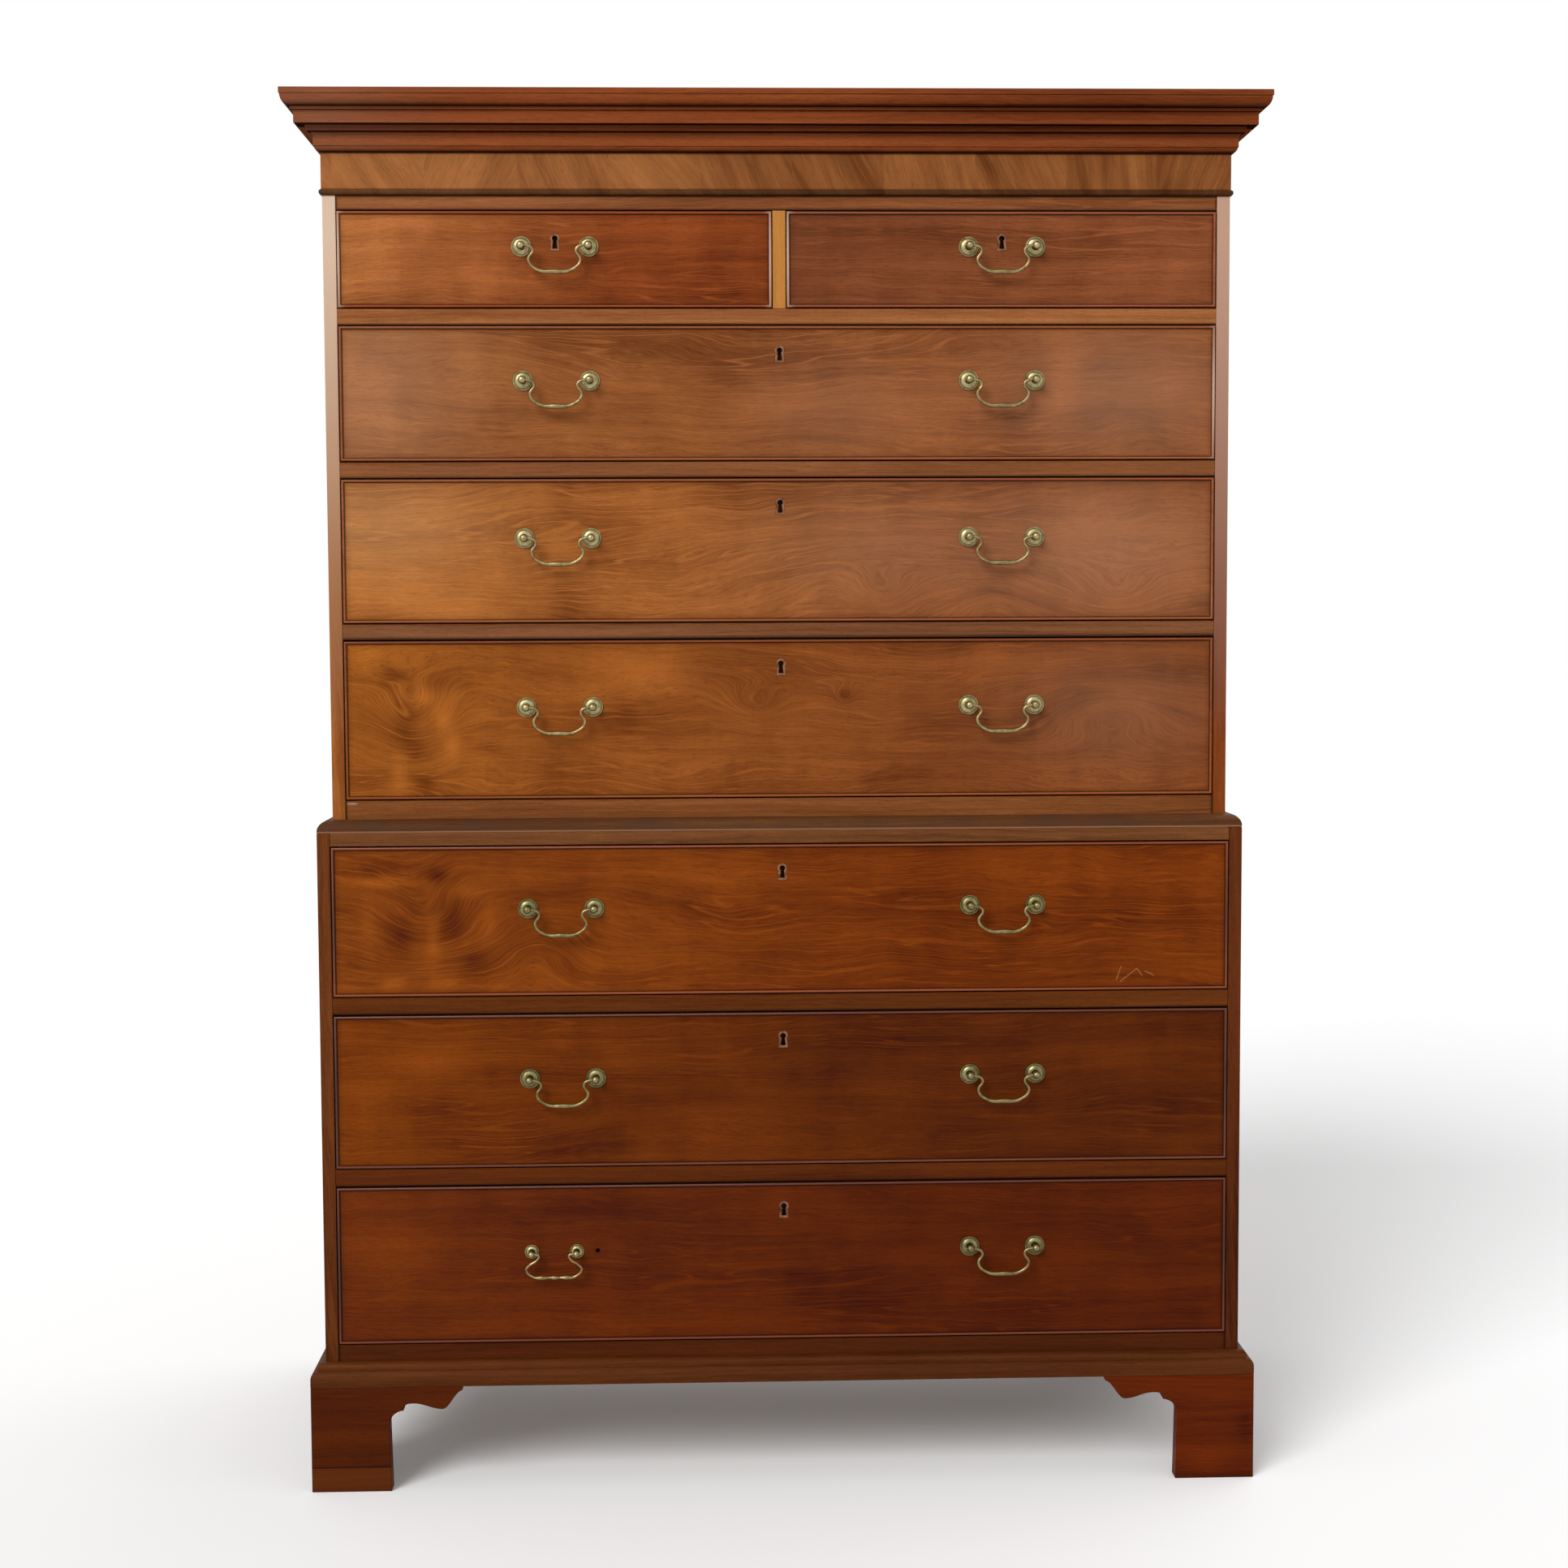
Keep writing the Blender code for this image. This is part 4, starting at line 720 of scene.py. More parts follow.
# Tone at the left end and at the right, the change between them painted light and shade across the drawer,
# then seed, slope and bend of the grain, then the swirls and clouds of the figure as
# (x, z, half width, half height, push or weight).
drawer_looks = {
    "drawer_1_left": ("#ae6638", "#8b411b", 22.1, 0.00, 0.03, (),
                      ((-0.49, 1.55, 0.06, 0.03, 0.3), (-0.05, 1.52, 0.10, 0.05, -0.2))),
    "drawer_1_right": ("#7a4026", "#87492b", 23.9, 0.01, 0.03, (),
                       ((0.25, 1.56, 0.12, 0.02, -0.2), (0.45, 1.52, 0.06, 0.05, 0.2))),
    "drawer_2": ("#98592f", "#8b4c26", 24.7, 0.02, 0.09, ((-0.12, 1.37, 0.16, 0.05, 0.03),),
                 ((-0.52, 1.36, 0.05, 0.09, 0.3), (-0.12, 1.42, 0.18, 0.03, -0.35),
                  (0.13, 1.33, 0.10, 0.05, 0.2), (0.35, 1.37, 0.025, 0.08, 0.4),
                  (0.47, 1.30, 0.03, 0.04, -0.25), (0.51, 1.36, 0.06, 0.06, 0.15))),
    "drawer_3": ("#a9622c", "#8c4d27", 25.3, -0.03, 0.09,
                 ((0.10, 1.16, 0.20, 0.05, -0.03), (0.13, 1.115, 0.045, 0.030, 0.030),
                  (0.27, 1.100, 0.040, 0.025, -0.025), (0.42, 1.115, 0.050, 0.030, 0.030)),
                 ((-0.44, 1.12, 0.10, 0.035, 0.4), (-0.15, 1.21, 0.05, 0.05, 0.2),
                  (-0.265, 1.23, 0.02, 0.03, -0.3), (-0.26, 1.10, 0.025, 0.03, -0.3),
                  (0.02, 1.24, 0.25, 0.02, -0.3), (0.42, 1.20, 0.08, 0.03, 0.2))),
    "drawer_4": ("#98521b", "#80421d", 26.9, 0.02, 0.10,
                 ((-0.455, 0.962, 0.045, 0.050, 0.04), (-0.030, 0.978, 0.030, 0.020, 0.03),
                  (0.079, 0.988, 0.010, 0.010, 0.03), (0.411, 0.968, 0.070, 0.035, -0.05)),
                 ((-0.479, 1.014, 0.020, 0.013, -0.45), (-0.464, 0.960, 0.017, 0.032, -0.50),
                  (-0.449, 0.917, 0.018, 0.012, -0.35), (-0.439, 0.988, 0.013, 0.012, 0.45),
                  (-0.419, 0.960, 0.010, 0.020, 0.45), (-0.407, 0.930, 0.010, 0.020, 0.40),
                  (-0.403, 1.006, 0.028, 0.013, -0.35), (-0.472, 0.890, 0.010, 0.022, 0.40),
                  (-0.442, 0.884, 0.015, 0.016, -0.40), (-0.515, 0.879, 0.025, 0.012, -0.30),
                  (-0.366, 0.924, 0.022, 0.009, -0.35), (-0.510, 1.037, 0.030, 0.020, 0.40),
                  (-0.195, 0.965, 0.025, 0.028, -0.30), (-0.165, 1.018, 0.050, 0.030, 0.50),
                  (0.079, 0.988, 0.012, 0.008, -0.40))),
    "drawer_5": ("#85400f", "#793407", 27.5, 0.02, 0.09,
                 ((-0.44, 0.715, 0.060, 0.050, 0.05), (-0.30, 0.680, 0.050, 0.040, -0.04)),
                 ((-0.498, 0.761, 0.050, 0.008, 0.60), (-0.498, 0.776, 0.026, 0.010, -0.45),
                  (-0.427, 0.768, 0.016, 0.010, -0.50), (-0.387, 0.749, 0.022, 0.008, 0.40),
                  (-0.410, 0.711, 0.016, 0.032, -0.45), (-0.362, 0.712, 0.014, 0.028, 0.35),
                  (-0.476, 0.690, 0.020, 0.026, -0.50), (-0.432, 0.684, 0.008, 0.026, 0.35),
                  (-0.511, 0.715, 0.013, 0.030, 0.30), (-0.483, 0.635, 0.016, 0.009, 0.55),
                  (-0.417, 0.635, 0.020, 0.010, 0.55), (-0.379, 0.660, 0.020, 0.020, -0.30),
                  (-0.172, 0.698, 0.020, 0.013, -0.35), (-0.070, 0.771, 0.110, 0.018, 0.35),
                  (0.300, 0.700, 0.150, 0.040, -0.20))),
    "drawer_6": ("#7a3707", "#5a2404", 28.1, -0.02, 0.06, (),
                 ((-0.440, 0.540, 0.050, 0.030, 0.5), (-0.520, 0.480, 0.030, 0.050, 0.3),
                  (-0.250, 0.430, 0.100, 0.030, -0.35), (0.100, 0.570, 0.120, 0.030, -0.3),
                  (0.430, 0.530, 0.050, 0.020, 0.3), (0.470, 0.480, 0.120, 0.070, -0.15))),
    "drawer_7": ("#672a03", "#581f01", 29.3, 0.01, 0.04, (),
                 ((-0.500, 0.300, 0.050, 0.050, 0.4), (-0.200, 0.360, 0.100, 0.020, -0.3),
                  (0.000, 0.350, 0.060, 0.015, 0.25), (0.100, 0.250, 0.120, 0.030, -0.3))),
}

# Upright beads scuffed pale with a painted highlight, or darkened with painted shade where they catch no
# reflection: 0 is the left end of the drawer and 1 the right one.
SCUFF_AND_HIGHLIGHT, UPRIGHT_SHADE = "#d9b9a4", "#230c05"
bead_ends = {
    "drawer_1_left": ((0, SCUFF_AND_HIGHLIGHT), (1, SCUFF_AND_HIGHLIGHT)),
    "drawer_1_right": ((0, SCUFF_AND_HIGHLIGHT),),
    "drawer_2": ((1, SCUFF_AND_HIGHLIGHT),),
    "drawer_5": ((0, UPRIGHT_SHADE), (1, UPRIGHT_SHADE)),
    "drawer_6": ((0, UPRIGHT_SHADE), (1, UPRIGHT_SHADE)),
    "drawer_7": ((0, UPRIGHT_SHADE), (1, UPRIGHT_SHADE)),
}

# Painted sheen on the wax of the upper long drawers, in the same five numbers.
painted_wax_sheen = {
    "drawer_2": ((-0.50, 1.37, 0.13, 0.12, 0.16), (0.08, 1.34, 0.12, 0.08, 0.12),
                 (0.42, 1.36, 0.17, 0.09, 0.25)),
    "drawer_3": ((-0.50, 1.20, 0.14, 0.07, 0.20), (0.10, 1.17, 0.14, 0.08, 0.14),
                 (0.40, 1.17, 0.18, 0.09, 0.25)),
    "drawer_4": ((0.42, 0.97, 0.14, 0.08, 0.14),),
}


def solid(name, bm):
    """A mesh as a bare object, to cut others with or be cut."""
    bmesh.ops.recalc_face_normals(bm, faces=bm.faces)
    mesh = bpy.data.meshes.new(name)
    bm.to_mesh(mesh)
    bm.free()
    return placed(name, mesh)


def carved(bm, cutter):
    """The first mesh with the second one cut out of it."""
    block, tool = solid("blank", bm), solid("cutter", cutter)
    cut = block.modifiers.new("cut", "BOOLEAN")
    cut.operation, cut.solver, cut.object = "DIFFERENCE", "EXACT", tool
    bpy.context.view_layer.update()
    result = bmesh.new()
    result.from_object(block, bpy.context.evaluated_depsgraph_get())
    for used in (block.data, tool.data):
        bpy.data.meshes.remove(used)
    return result


def bars(outlines, axis):
    """Bars with the given outlines, each (points, start, end), along X or Y."""
    bm = bmesh.new()
    for points, start, end in outlines:
        lofted(bm, [[(t, a, b) if axis == "X" else (a, t, b) for a, b in points] for t in (start, end)])
    return bm


def rings(sections, low, high, closed):
    """Upright rectangular rings, each (inset from the outline, y), joined one to the next."""
    loops = []
    for inset, y in sections:
        x0, x1, z0, z1 = low.x + inset, high.x - inset, low.z + inset, high.z - inset
        loops.append(((x0, y, z0), (x1, y, z0), (x1, y, z1), (x0, y, z1)))
    bm = bmesh.new()
    lofted(bm, loops, closed)
    return bm


def keyhole(x, z, wall, steps=16):
    """Round head and flared slot of a keyhole, grown outwards by a wall."""
    radius, neck, foot, drop = (size + wall for size in (0.0030, 0.0018, 0.0027, 0.0118))
    start = -math.acos(neck / radius)
    points = []
    for step in range(steps + 1):
        turn = start + (math.pi - 2 * start) * step / steps
        points.append((x + radius * math.cos(turn), z + radius * math.sin(turn)))
    return points + [(x - foot, z - drop), (x + foot, z - drop)]


def circle(x, z, radius, steps=24):
    """Points round a circle."""
    turns = [math.tau * step / steps for step in range(steps)]
    return [(x + radius * math.cos(turn), z + radius * math.sin(turn)) for turn in turns]


keyholes = {}
for drawer, (left, right, seed, lie, bend, swirls, clouds) in drawer_looks.items():
    low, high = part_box(f"{drawer}_front")
    face = high.y - FRONT_THICKNESS - LOCK_DEPTH
    middle = (low.x + high.x) / 2
    rebate = face + BEAD_REBATE
    sections = ((0, face + FRONT_THICKNESS), (0, rebate), (BEAD_WIDTH, rebate), (BEAD_WIDTH, face))
    blank = rings(sections, low, high, False)

    # Dovetail sockets, as many as the drawer's height takes.
    floor, ceiling = low.z - DRAWER_GAP + FIT, high.z - 0.003
    count = max(2, round((ceiling - floor) / TAIL_PITCH))
    width = (ceiling - floor - (count + 1) * PIN_WIDTH) / count
    near, far = face + LAP, face + FRONT_THICKNESS + 0.001
    sockets = []
    for number in range(count):
        foot = floor + PIN_WIDTH + number * (width + PIN_WIDTH) - FIT
        head = foot + width + 2 * FIT
        points = [(far, foot), (near, foot - FLARE), (near, head + FLARE), (far, head)]
        for side, end in ((-1, low.x), (1, high.x)):
            sockets.append((points, end + side * 0.001, end - side * (LINING_THICKNESS + FIT)))
    blank = carved(blank, bars(sockets, "X"))

    # Groove for the bottom board, keyhole, and the empty hole of the first handle on the lowest drawer.
    reach = (high.x - low.x) / 2 - 0.005
    x0, x1, z0 = middle - reach, middle + reach, low.z - DRAWER_GAP + GROOVE_RISE
    edges = [(x0, z0), (x1, z0), (x1, z0 + GROOVE_HEIGHT), (x0, z0 + GROOVE_HEIGHT)]
    lock_z = high.z + DRAWER_GAP - (SHORT_LOCK_DROP if drawer.startswith("drawer_1") else LOCK_DROP)
    keyholes[drawer] = (middle, face, lock_z, high.z)
    openings = [(edges, face + FRONT_THICKNESS - GROOVE_DEPTH, far),
                (keyhole(middle, lock_z, THREAD_WALL), face - 0.003, face + 0.016)]
    if drawer == "drawer_7":
        openings.append((circle(OLD_HOLE_X, OLD_HOLE_Z, OLD_HOLE), face - 0.003, face + 0.012))
    blank = carved(blank, bars(openings, "Y"))

    # Figured mahogany under old wax, with painted light, sheen and shade, and old polish along the bead.
    swirls, clouds = ([((px, face, pz), (wide, 1, tall), weight) for px, pz, wide, tall, weight in group]
                      for group in (swirls, clouds))
    front_wood = wood(f"figured_mahogany_{drawer}", *tones(right), seed=seed, lie=lie, bend=bend, wave=0.008,
                      swirls=swirls, clouds=clouds, layers=FIGURED_LAYERS, veins=0.6, roughness=0.40)
    for px, pz, wide, tall, weight in painted_wax_sheen.get(drawer, ()):
        painted_sheen(front_wood, (px, face, pz), (wide, 1, tall), weight)
    tree = front_wood.node_tree
    x, y, _ = coordinates(tree)
    # Painted light and shade: the colour shifts from the left tone at the left end to the right tone two
    # thirds of the way across.
    painted_light_ratio = [a / b for a, b in zip(linear(left), linear(right))]
    span = {"Value": x, "From Min": low.x, "From Max": low.x * 0.35 + high.x * 0.65, "To Min": 1.0,
            "To Max": 0.0}
    painted_light_share = add(tree, "MapRange", span)
    tinted(front_wood, add(tree, "MixRGB", {"Fac": painted_light_share, "Color1": (1, 1, 1, 1), "Color2": painted_light_ratio}))
    behind = add(tree, "Math", {0: y, 1: face + FRONT_THICKNESS - 0.0005}, operation="GREATER_THAN")
    laid_over(front_wood, behind, "#7b5534")
    # Old polish and soot darken the board near the bead, with painted shade in the crease beside it.
    inset = Vector((BEAD_WIDTH, 0, BEAD_WIDTH))
    edge_soot_and_shade(front_wood, low + inset, high - inset, face, ((0.0022, 0.85), (0.008, 0.22)))
    if drawer == "drawer_5":
        # Four pale scratches near the right-hand end, each from one point to the next in x and z.
        for start, end in (((0.4210, 0.6293), (0.4422, 0.6456)), ((0.4422, 0.6456), (0.4489, 0.6367)),
                           ((0.4522, 0.6424), (0.4639, 0.6367)), ((0.4224, 0.6489), (0.4163, 0.6313))):
            way = Vector((end[0] - start[0], 0, end[1] - start[1]))
            place = add(tree, "TexCoord", {}).outputs["Object"]
            offset = add(tree, "VectorMath", {0: place, 1: (start[0], 0, start[1])}, operation="SUBTRACT")
            turned = (way.z / way.length, 0, -way.x / way.length)
            aside = add(tree, "VectorMath", {0: offset, 1: turned}, operation="DOT_PRODUCT").outputs["Value"]
            along = add(tree, "VectorMath", {0: offset, 1: way / way.length_squared}, operation="DOT_PRODUCT")
            inside = add(tree, "Math", {0: along.outputs["Value"], 1: 0.5, 2: 0.5}, operation="COMPARE")
            thin = add(tree, "Math", {0: aside, 1: 0.0, 2: 0.0007}, operation="COMPARE")
            mark = add(tree, "Math", {0: inside, 1: thin}, operation="MULTIPLY")
            laid_over(front_wood, mark, "#b07a48", 0.5)
    slot = "dark_mahogany" if drawer in LOWER_DRAWERS else "light_mahogany"
    piece(f"{drawer}_front_board", blank, front_wood, drawer, slot, f"{drawer}_front")

    # The cock bead is a thin strip glued into the rebate, mitred at the corners, with a rounded nose.
    half = BEAD_WIDTH / 2
    nose = [(GLUE, face + BEAD_REBATE - GLUE)]
    for step in range(9):
        turn = math.pi * step / 8
        across = GLUE + (half - GLUE) * (1 - math.cos(turn))
        nose.append((across, face + half - BEAD_PROUD - half * math.sin(turn)))
    nose.append((BEAD_WIDTH - GLUE, face + BEAD_REBATE - GLUE))
    # Red mahogany, painted paler than the boards beside it as a highlight along the nose, and waxed on the
    # lower case. Painted shade darkens its outer edge, in the gap.
    bead_wood = wood(f"highlit_bead_mahogany_{drawer}", *tones(right, (0.90, 0.85, 1.00), (1.7, 1.8, 2.2)),
                     seed=seed + 0.5, bend=0.01, roughness=0.34,
                     polish=0.45 if slot == "dark_mahogany" else 0.12)
    edge_soot_and_shade(bead_wood, low, high, face, ((0.0016, 0.95),))
    for end, code in bead_ends.get(drawer, ()):
        centre = ((low.x, high.x)[end], face, (low.z + high.z) / 2)
        laid_over(bead_wood, spot(bead_wood.node_tree, centre, (0.006, 1, 0.07)), code, 0.8)
    piece(f"{drawer}_cock_bead", rings(nose, low, high, True), bead_wood, drawer, slot)


# Drawer linings and bottoms
# Thin oak sides and back, dovetailed together, with an oak bottom let into grooves.
# The sides are quarter-sawn, unpolished, and worn smooth where they run.

# Close growth bands, the short silky flecks of the rays, and open pores drawn twice as wide to show.
OAK_LAYERS = (
    (0.40, 0.060, 2, 0.6),
    (1.20, 0.0050, 3, 0.8),
    (0.012, 0.0060, 2, 0.35),
    (0.020, 0.0012, 1, 0.5),
)

for drawer, (_, _, seed, *_) in drawer_looks.items():
    low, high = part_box(f"{drawer}_lining")
    # Bare oak: straight bands with fine dark pores, dry and matt, a little yellow.
    lining_oak = wood(f"bare_oak_lining_{drawer}", linear("#6d4c2b"), linear("#a98153"), run="Y", bend=0.015,
                      butt=high.y - LINING_THICKNESS, seed=seed + 0.2, layers=OAK_LAYERS,
                      roughness=0.65, polish=0.12)
    eased(f"{drawer}_lining", f"{drawer}_sides_and_back", lining_oak, "drawer_oak", drawer, 0.0004)
    bottom_oak = wood(f"bare_oak_bottom_{drawer}", linear("#70502f"), linear("#a57d50"), bend=0.03,
                      seed=seed + 0.7, layers=OAK_LAYERS, roughness=0.68, polish=0.12)
    frame["nodes"][f"{drawer}_bottom"].data.materials[0] = bottom_oak


# Locks and escutcheons
# Each keyhole is lined with a brass thread escutcheon hammered into the wood, flush with the front.
# Behind it a brass lock is let on to the board with four screws, and its pin stands in the keyhole.


def brass(name, dark, light, roughness):
    """Old cast brass, never lacquered: tarnished brown and dull gold in patches."""
    material = bpy.data.materials.new(name)
    material.use_nodes = True
    tree = material.node_tree
    place = add(tree, "TexCoord", {}).outputs["Object"]
    lot = add(tree, "ObjectInfo", {}).outputs["Random"]
    # Tarnish in patches of about 6 mm, with a fine casting skin of 0.8 mm.
    patches = add(tree, "TexNoise", {"Vector": place, "W": lot, "Scale": 1 / 0.006, "Detail": 3.0},
                  noise_dimensions="4D")
    skin = add(tree, "TexNoise", {"Vector": place, "Scale": 1 / 0.0008, "Detail": 2.0})
    tarnish = add(tree, "MapRange", {"Value": patches, "From Min": 0.3, "From Max": 0.65})
    colour = add(tree, "MixRGB", {"Fac": tarnish, "Color1": linear(dark), "Color2": linear(light)})
    gloss = add(tree, "MapRange", {"Value": patches, "From Min": 0.3, "From Max": 0.7,
                                   "To Min": roughness + 0.15, "To Max": roughness - 0.05})
    relief = add(tree, "Bump", {"Height": skin, "Strength": 0.2, "Distance": 0.0001})
    feed(tree, tree.nodes["Principled BSDF"], {"Base Color": colour, "Roughness": gloss, "Normal": relief,
                                               "Metallic": 1.0})
    return material


escutcheon_brass = brass("tarnished_escutcheon_brass", "#4a3022", "#94684d", 0.34)
lock_brass = brass("dull_lock_brass", "#67532d", "#99804c", 0.38)
pin_iron = brass("rusty_iron_pin", "#18130e", "#34281f", 0.55)

LOCK_HALF, LOCK_HEIGHT, LOCK_THICKNESS = 0.031, 0.046, 0.0092
SCREW, SLOT, SCREW_PROUD = 0.0024, 0.0003, 0.0006
# Wall round the keyhole and depth behind the drawer's face, from the outside over the rim and back in.
THREAD = ((0.0033, 0.0159), (0.0033, -0.0002), (0.0029, -0.0006), (0.0008, -0.0006), (0.0002, -0.0001),
          (0.0002, 0.0159))

for drawer, (x, face, z, top) in keyholes.items():
    bm = bmesh.new()
    lofted(bm, [[(a, face + depth, b) for a, b in keyhole(x, z, wall)] for wall, depth in THREAD], True)
    piece(f"{drawer}_escutcheon", bm, escutcheon_brass, drawer, "old_brass")

    pin = bars([(circle(x, z, 0.0011, 12), face + 0.006, face + 0.0158)], "Y")
    piece(f"{drawer}_lock_pin", pin, pin_iron, drawer, "old_brass")

    back = face + FRONT_THICKNESS
    lock_top = top - 0.003
    bm = boards([((x - LOCK_HALF, back + GLUE, lock_top - LOCK_HEIGHT),
                  (x + LOCK_HALF, back + LOCK_THICKNESS, lock_top))], 0.0008)
    for across in (-0.025, 0.025):
        for down in (0.006, 0.040):
            for half in (-1, 1):
                arc = [math.pi * (step / 10 - 0.5) for step in range(11)]
                head = [(x + across + half * (SLOT + SCREW * math.cos(turn)),
                         lock_top - down + SCREW * math.sin(turn)) for turn in arc]
                lofted(bm, [[(a, back + LOCK_THICKNESS + proud, b) for a, b in head]
                            for proud in (-GLUE, SCREW_PROUD)])
    piece(f"{drawer}_lock_case", bm, lock_brass, drawer, "old_brass")


# Handle posts
# Cast brass posts turned with a domed rosette and a ball, drilled across for the ends of the bail.
# The shank goes through the drawer front and is held inside by a nut.

STANDOFF = 0.0155
# Distance between posts, rosette and ball radius, wire radius, and the bail's neck, belly and drop.
SWAN_NECK = (0.082, 0.0124, 0.0050, 0.0018, 0.0265, 0.0315, 0.032)
LATER_HANDLE = "drawer_7_bail_left"
LATER = (0.056, 0.0090, 0.0042, 0.0016, 0.0205, 0.0343, 0.0295)


def post_mesh(rosette, ball, wire):
    """A post about its own axis, which points to -Y, with the bore for the bail."""
    profile = [(0, 0), (rosette, 0), (rosette, 0.0010), (rosette * 0.97, 0.0018), (rosette * 0.91, 0.0018),
               (rosette * 0.87, 0.0012)]
    for step in range(9):
        turn = math.pi / 2 * step / 8
        profile.append((rosette * (0.36 + 0.48 * math.cos(turn)), 0.0012 + 0.0034 * math.sin(turn)))
    profile += [(ball * 0.74, 0.0042), (ball * 0.66, 0.0050), (ball * 0.60, 0.0065)]
    profile.append((ball * 0.62, STANDOFF - ball))
    for step in range(1, 13):
        turn = math.radians(-50 + 140 * step / 12)
        profile.append((max(0, ball * math.cos(turn)), STANDOFF + ball * math.sin(turn)))
    bm = bmesh.new()
    points = [bm.verts.new((radius, -out, 0)) for radius, out in profile]
    edges = [bm.edges.new(pair) for pair in zip(points, points[1:])]
    bmesh.ops.spin(bm, geom=points + edges, cent=(0, 0, 0), axis=(0, 1, 0), angle=math.tau, steps=40)
    bmesh.ops.remove_doubles(bm, verts=bm.verts, dist=0.00001)
    bore = bars([([(a - STANDOFF, b) for a, b in circle(0, 0, wire + 0.0002, 20)], -rosette, rosette)], "X")
    return carved(bm, bore)


# Dull gold brass on the upper case, brightest on the ball and the dome of the rosette. The handles of the
# lower case are darker and browner, and the later one is bright again.
post_brass = {
    "rubbed": brass("rubbed_post_brass", "#7b6f47", "#aca176", 0.34),
    "brown": brass("brown_post_brass", "#635b36", "#8c845c", 0.34),
}
for material in post_brass.values():
    # Grime stays in the hollow behind the ball and round the rim of the rosette.
    tree = material.node_tree
    x, y, z = coordinates(tree)
    plan = add(tree, "CombineXYZ", {0: x, 1: z})
    radius = add(tree, "VectorMath", {0: plan}, operation="LENGTH").outputs["Value"]
    out = add(tree, "Math", {0: y, 1: -1.0}, operation="MULTIPLY")
    root, low_down, rim = (
        add(tree, "MapRange", {"Value": value, "From Min": start, "From Max": end, "To Min": most,
                               "To Max": 0.0})
        for value, start, end, most in (
            (radius, 0.0036, 0.0048, 0.85),
            (out, 0.0080, 0.0105, 1.0),
            (out, 0.0004, 0.0014, 0.6),
        )
    )
    hollow = add(tree, "Math", {0: root, 1: low_down}, operation="MULTIPLY")
    laid_over(material, add(tree, "Math", {0: hollow, 1: rim}, operation="MAXIMUM"), "#221a0d")

pivots = {j["child"]: (j["parent"], Vector(j["pos_m"])) for j in frame["joints"] if j["type"] == "hinge"}
finishes, meshes = {}, {}
for handle, (drawer, pivot) in pivots.items():
    later = handle == LATER_HANDLE
    centres, rosette, ball, wire, *_ = LATER if later else SWAN_NECK
    browned = drawer in LOWER_DRAWERS and not later
    finish = finishes[handle] = "brown" if browned else "rubbed"
    kind = (centres, finish)
    for label, side in (("left", -1), ("right", 1)):
        name = f"{handle}_post_{label}"
        if kind in meshes:
            made = placed(name, meshes[kind])
            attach(made, drawer)
        else:
            made = piece(name, post_mesh(rosette, ball, wire), post_brass[finish], drawer, "old_brass")
            meshes[kind] = made.data
        made.location = (pivot.x + side * centres / 2, pivot.y + STANDOFF, pivot.z)


# Bails
# Cast swan-neck bails, filed smooth, whose ends spring into the posts and hang free.
# The one on the left of the lowest drawer is a later, smaller casting with a beaded grip.

SWELL = 1.75
# Dull brass, darker than the posts, rubbed smooth by hands.
bail_brass = {
    "rubbed": brass("worn_bail_brass", "#6e5e3a", "#9d8b62", 0.33),
    "brown": brass("brown_bail_brass", "#635734", "#8e8158", 0.33),
}

for handle, (drawer, pivot) in pivots.items():
    later = handle == LATER_HANDLE
    centres, rosette, ball, wire, neck, belly, drop = LATER if later else SWAN_NECK
    half = [(-centres / 2 - ball, 0, 1.0), (-centres / 2 + ball, 0, 1.0)]
    if later:
        half += [(-neck + wire, -drop * 0.06, 1.0), (-neck, -drop * 0.22, 1.0),
                 (-belly * 0.90, -drop * 0.48, 1.0), (-belly, -drop * 0.65, 1.0),
                 (-belly * 0.74, -drop * 0.97, 1.0), (-belly * 0.44, -drop, SWELL),
                 (-belly * 0.20, -drop, 0.9), (0, -drop, SWELL)]
    else:
        half += [(-neck, -drop * 0.16, 1.0), (-belly, -drop * 0.58, 1.08),
                 (-belly * 0.66, -drop * 0.93, 1.15), (0, -drop, SWELL)]
    path = half + [(-a, b, size) for a, b, size in reversed(half[:-1])]
    curve = bpy.data.curves.new(f"{handle}_casting", "CURVE")
    curve.dimensions = "3D"
    curve.bevel_depth = wire
    curve.bevel_resolution = 4
    curve.resolution_u = 10
    curve.use_fill_caps = True
    spline = curve.splines.new("BEZIER")
    spline.bezier_points.add(len(path) - 1)
    for point, (a, b, size) in zip(spline.bezier_points, path):
        point.co = (pivot.x + a, pivot.y, pivot.z + b)
        point.radius = size
        point.handle_left_type = point.handle_right_type = "AUTO"
    curve.materials.append(bail_brass[finishes[handle]])
    made = placed(f"{handle}_casting", curve)
    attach(made, handle)
    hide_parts(handle)


# Floor, light and camera
# A plain white floor and surround, lit by a broad soft light from the front left, a faint one from
# behind and an even sky. The camera stands where the photograph was taken from.

KEY, FILL, SKY = 2.1, 0.5, 0.50


def in_sight(tree):
    """1 for white seen by the camera, in metal or through glass, and 0 for the light that it gives."""
    path = add(tree, "LightPath", {}).outputs
    seen = add(tree, "Math", {0: path["Is Camera Ray"], 1: path["Is Glossy Ray"]}, operation="MAXIMUM")
    return add(tree, "Math", {0: seen, 1: path["Is Transmission Ray"]}, operation="MAXIMUM")


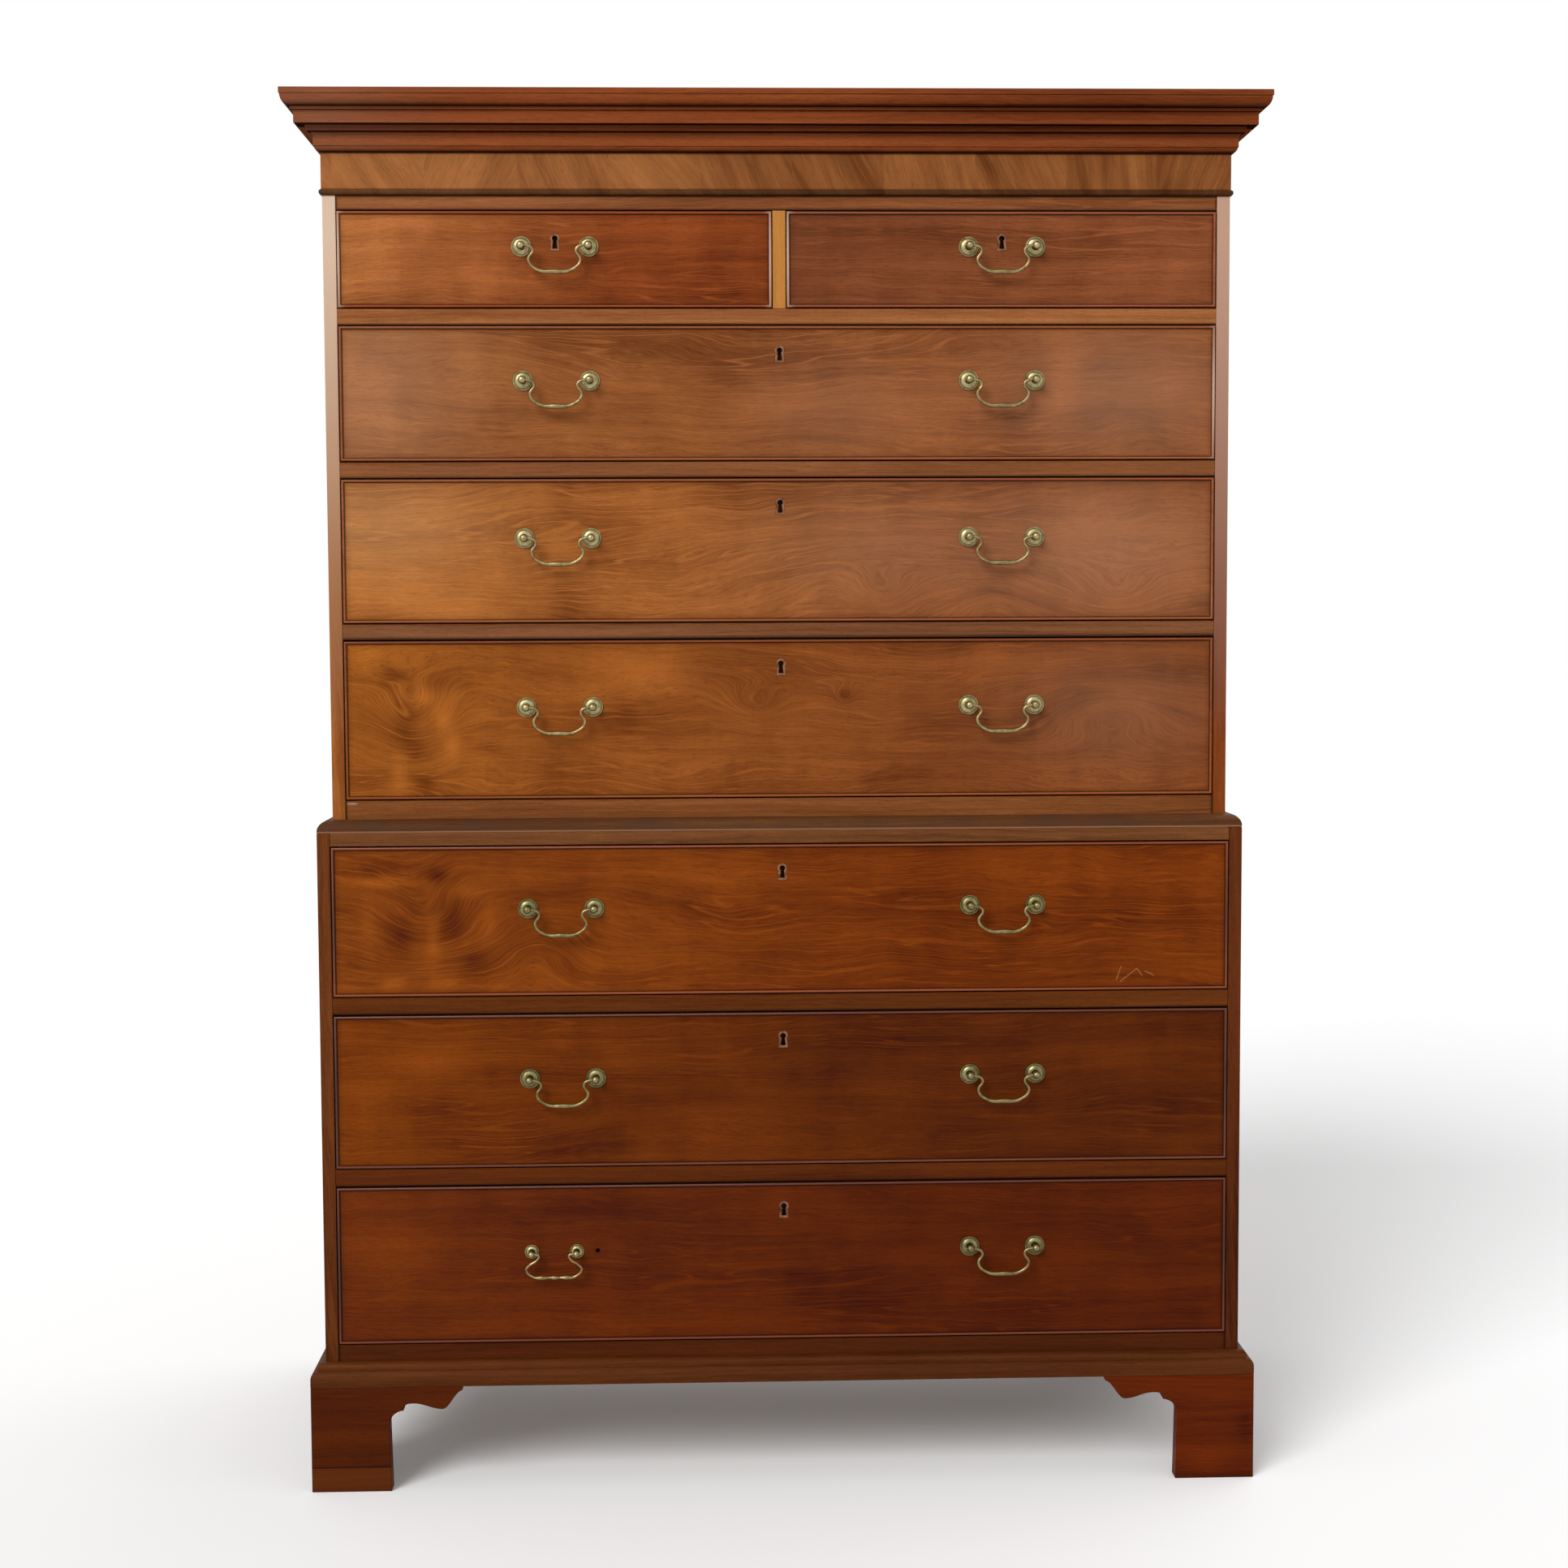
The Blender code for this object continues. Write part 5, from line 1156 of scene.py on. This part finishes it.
bm = bmesh.new()
bmesh.ops.create_grid(bm, x_segments=1, y_segments=1, size=30)
floor_mesh = bpy.data.meshes.new("floor")
bm.to_mesh(floor_mesh)
bm.free()
floor = placed("floor", floor_mesh)
paper = bpy.data.materials.new("white_paper_floor")
paper.use_nodes = True
tree = paper.node_tree
seen = in_sight(tree)
white = add(tree, "MixRGB", {"Fac": seen, "Color1": linear("#b4b4b4"), "Color2": linear("#fdfdfd")})
feed(tree, tree.nodes["Principled BSDF"], {
    "Base Color": white,
    "Emission Color": (1, 1, 1, 1),
    "Emission Strength": add(tree, "MapRange", {"Value": seen, "To Max": 0.08}),
    "Roughness": 0.9,
    "Specular IOR Level": 0.0,
})
floor_mesh.materials.append(paper)

world = bpy.data.worlds.new("white_surround")
bpy.context.scene.world = world
world.use_nodes = True
tree = world.node_tree
strength = add(tree, "MapRange", {"Value": in_sight(tree), "To Min": SKY, "To Max": 1.0})
feed(tree, tree.nodes["Background"], {"Color": (1, 1, 1, 1), "Strength": strength})

for name, power, direction, spread in (
    ("key", KEY, (0.50, 0.75, -0.62), 30),
    ("fill", FILL, (-0.6, -0.5, -0.6), 60),
):
    lamp = bpy.data.lights.new(name, "SUN")
    lamp.energy = power
    lamp.angle = math.radians(spread)
    light = placed(name, lamp)
    light.rotation_euler = Vector(direction).to_track_quat("-Z", "Y").to_euler()

YAW, PITCH, ROLL = math.radians(1.928), math.radians(-3.937), math.radians(-0.264)
ahead = Vector((math.sin(YAW) * math.cos(PITCH), math.cos(YAW) * math.cos(PITCH), math.sin(PITCH)))
right = Vector((math.cos(YAW), -math.sin(YAW), 0))
up = right.cross(ahead)
turned_right = right * math.cos(ROLL) + up * math.sin(ROLL)
turned_up = up * math.cos(ROLL) - right * math.sin(ROLL)
lens = bpy.data.cameras.new("camera")
lens.sensor_width = 36
lens.lens = 3000 / 1932 * 36
camera = placed("camera", lens)
camera.matrix_world = Matrix.Translation((-0.0985, LOWER_FRONT - 3.0, 1.086)) @ Matrix(
    (turned_right, turned_up, -ahead)).transposed().to_4x4()
bpy.context.scene.camera = camera
bpy.context.scene.view_settings.view_transform = "Standard"
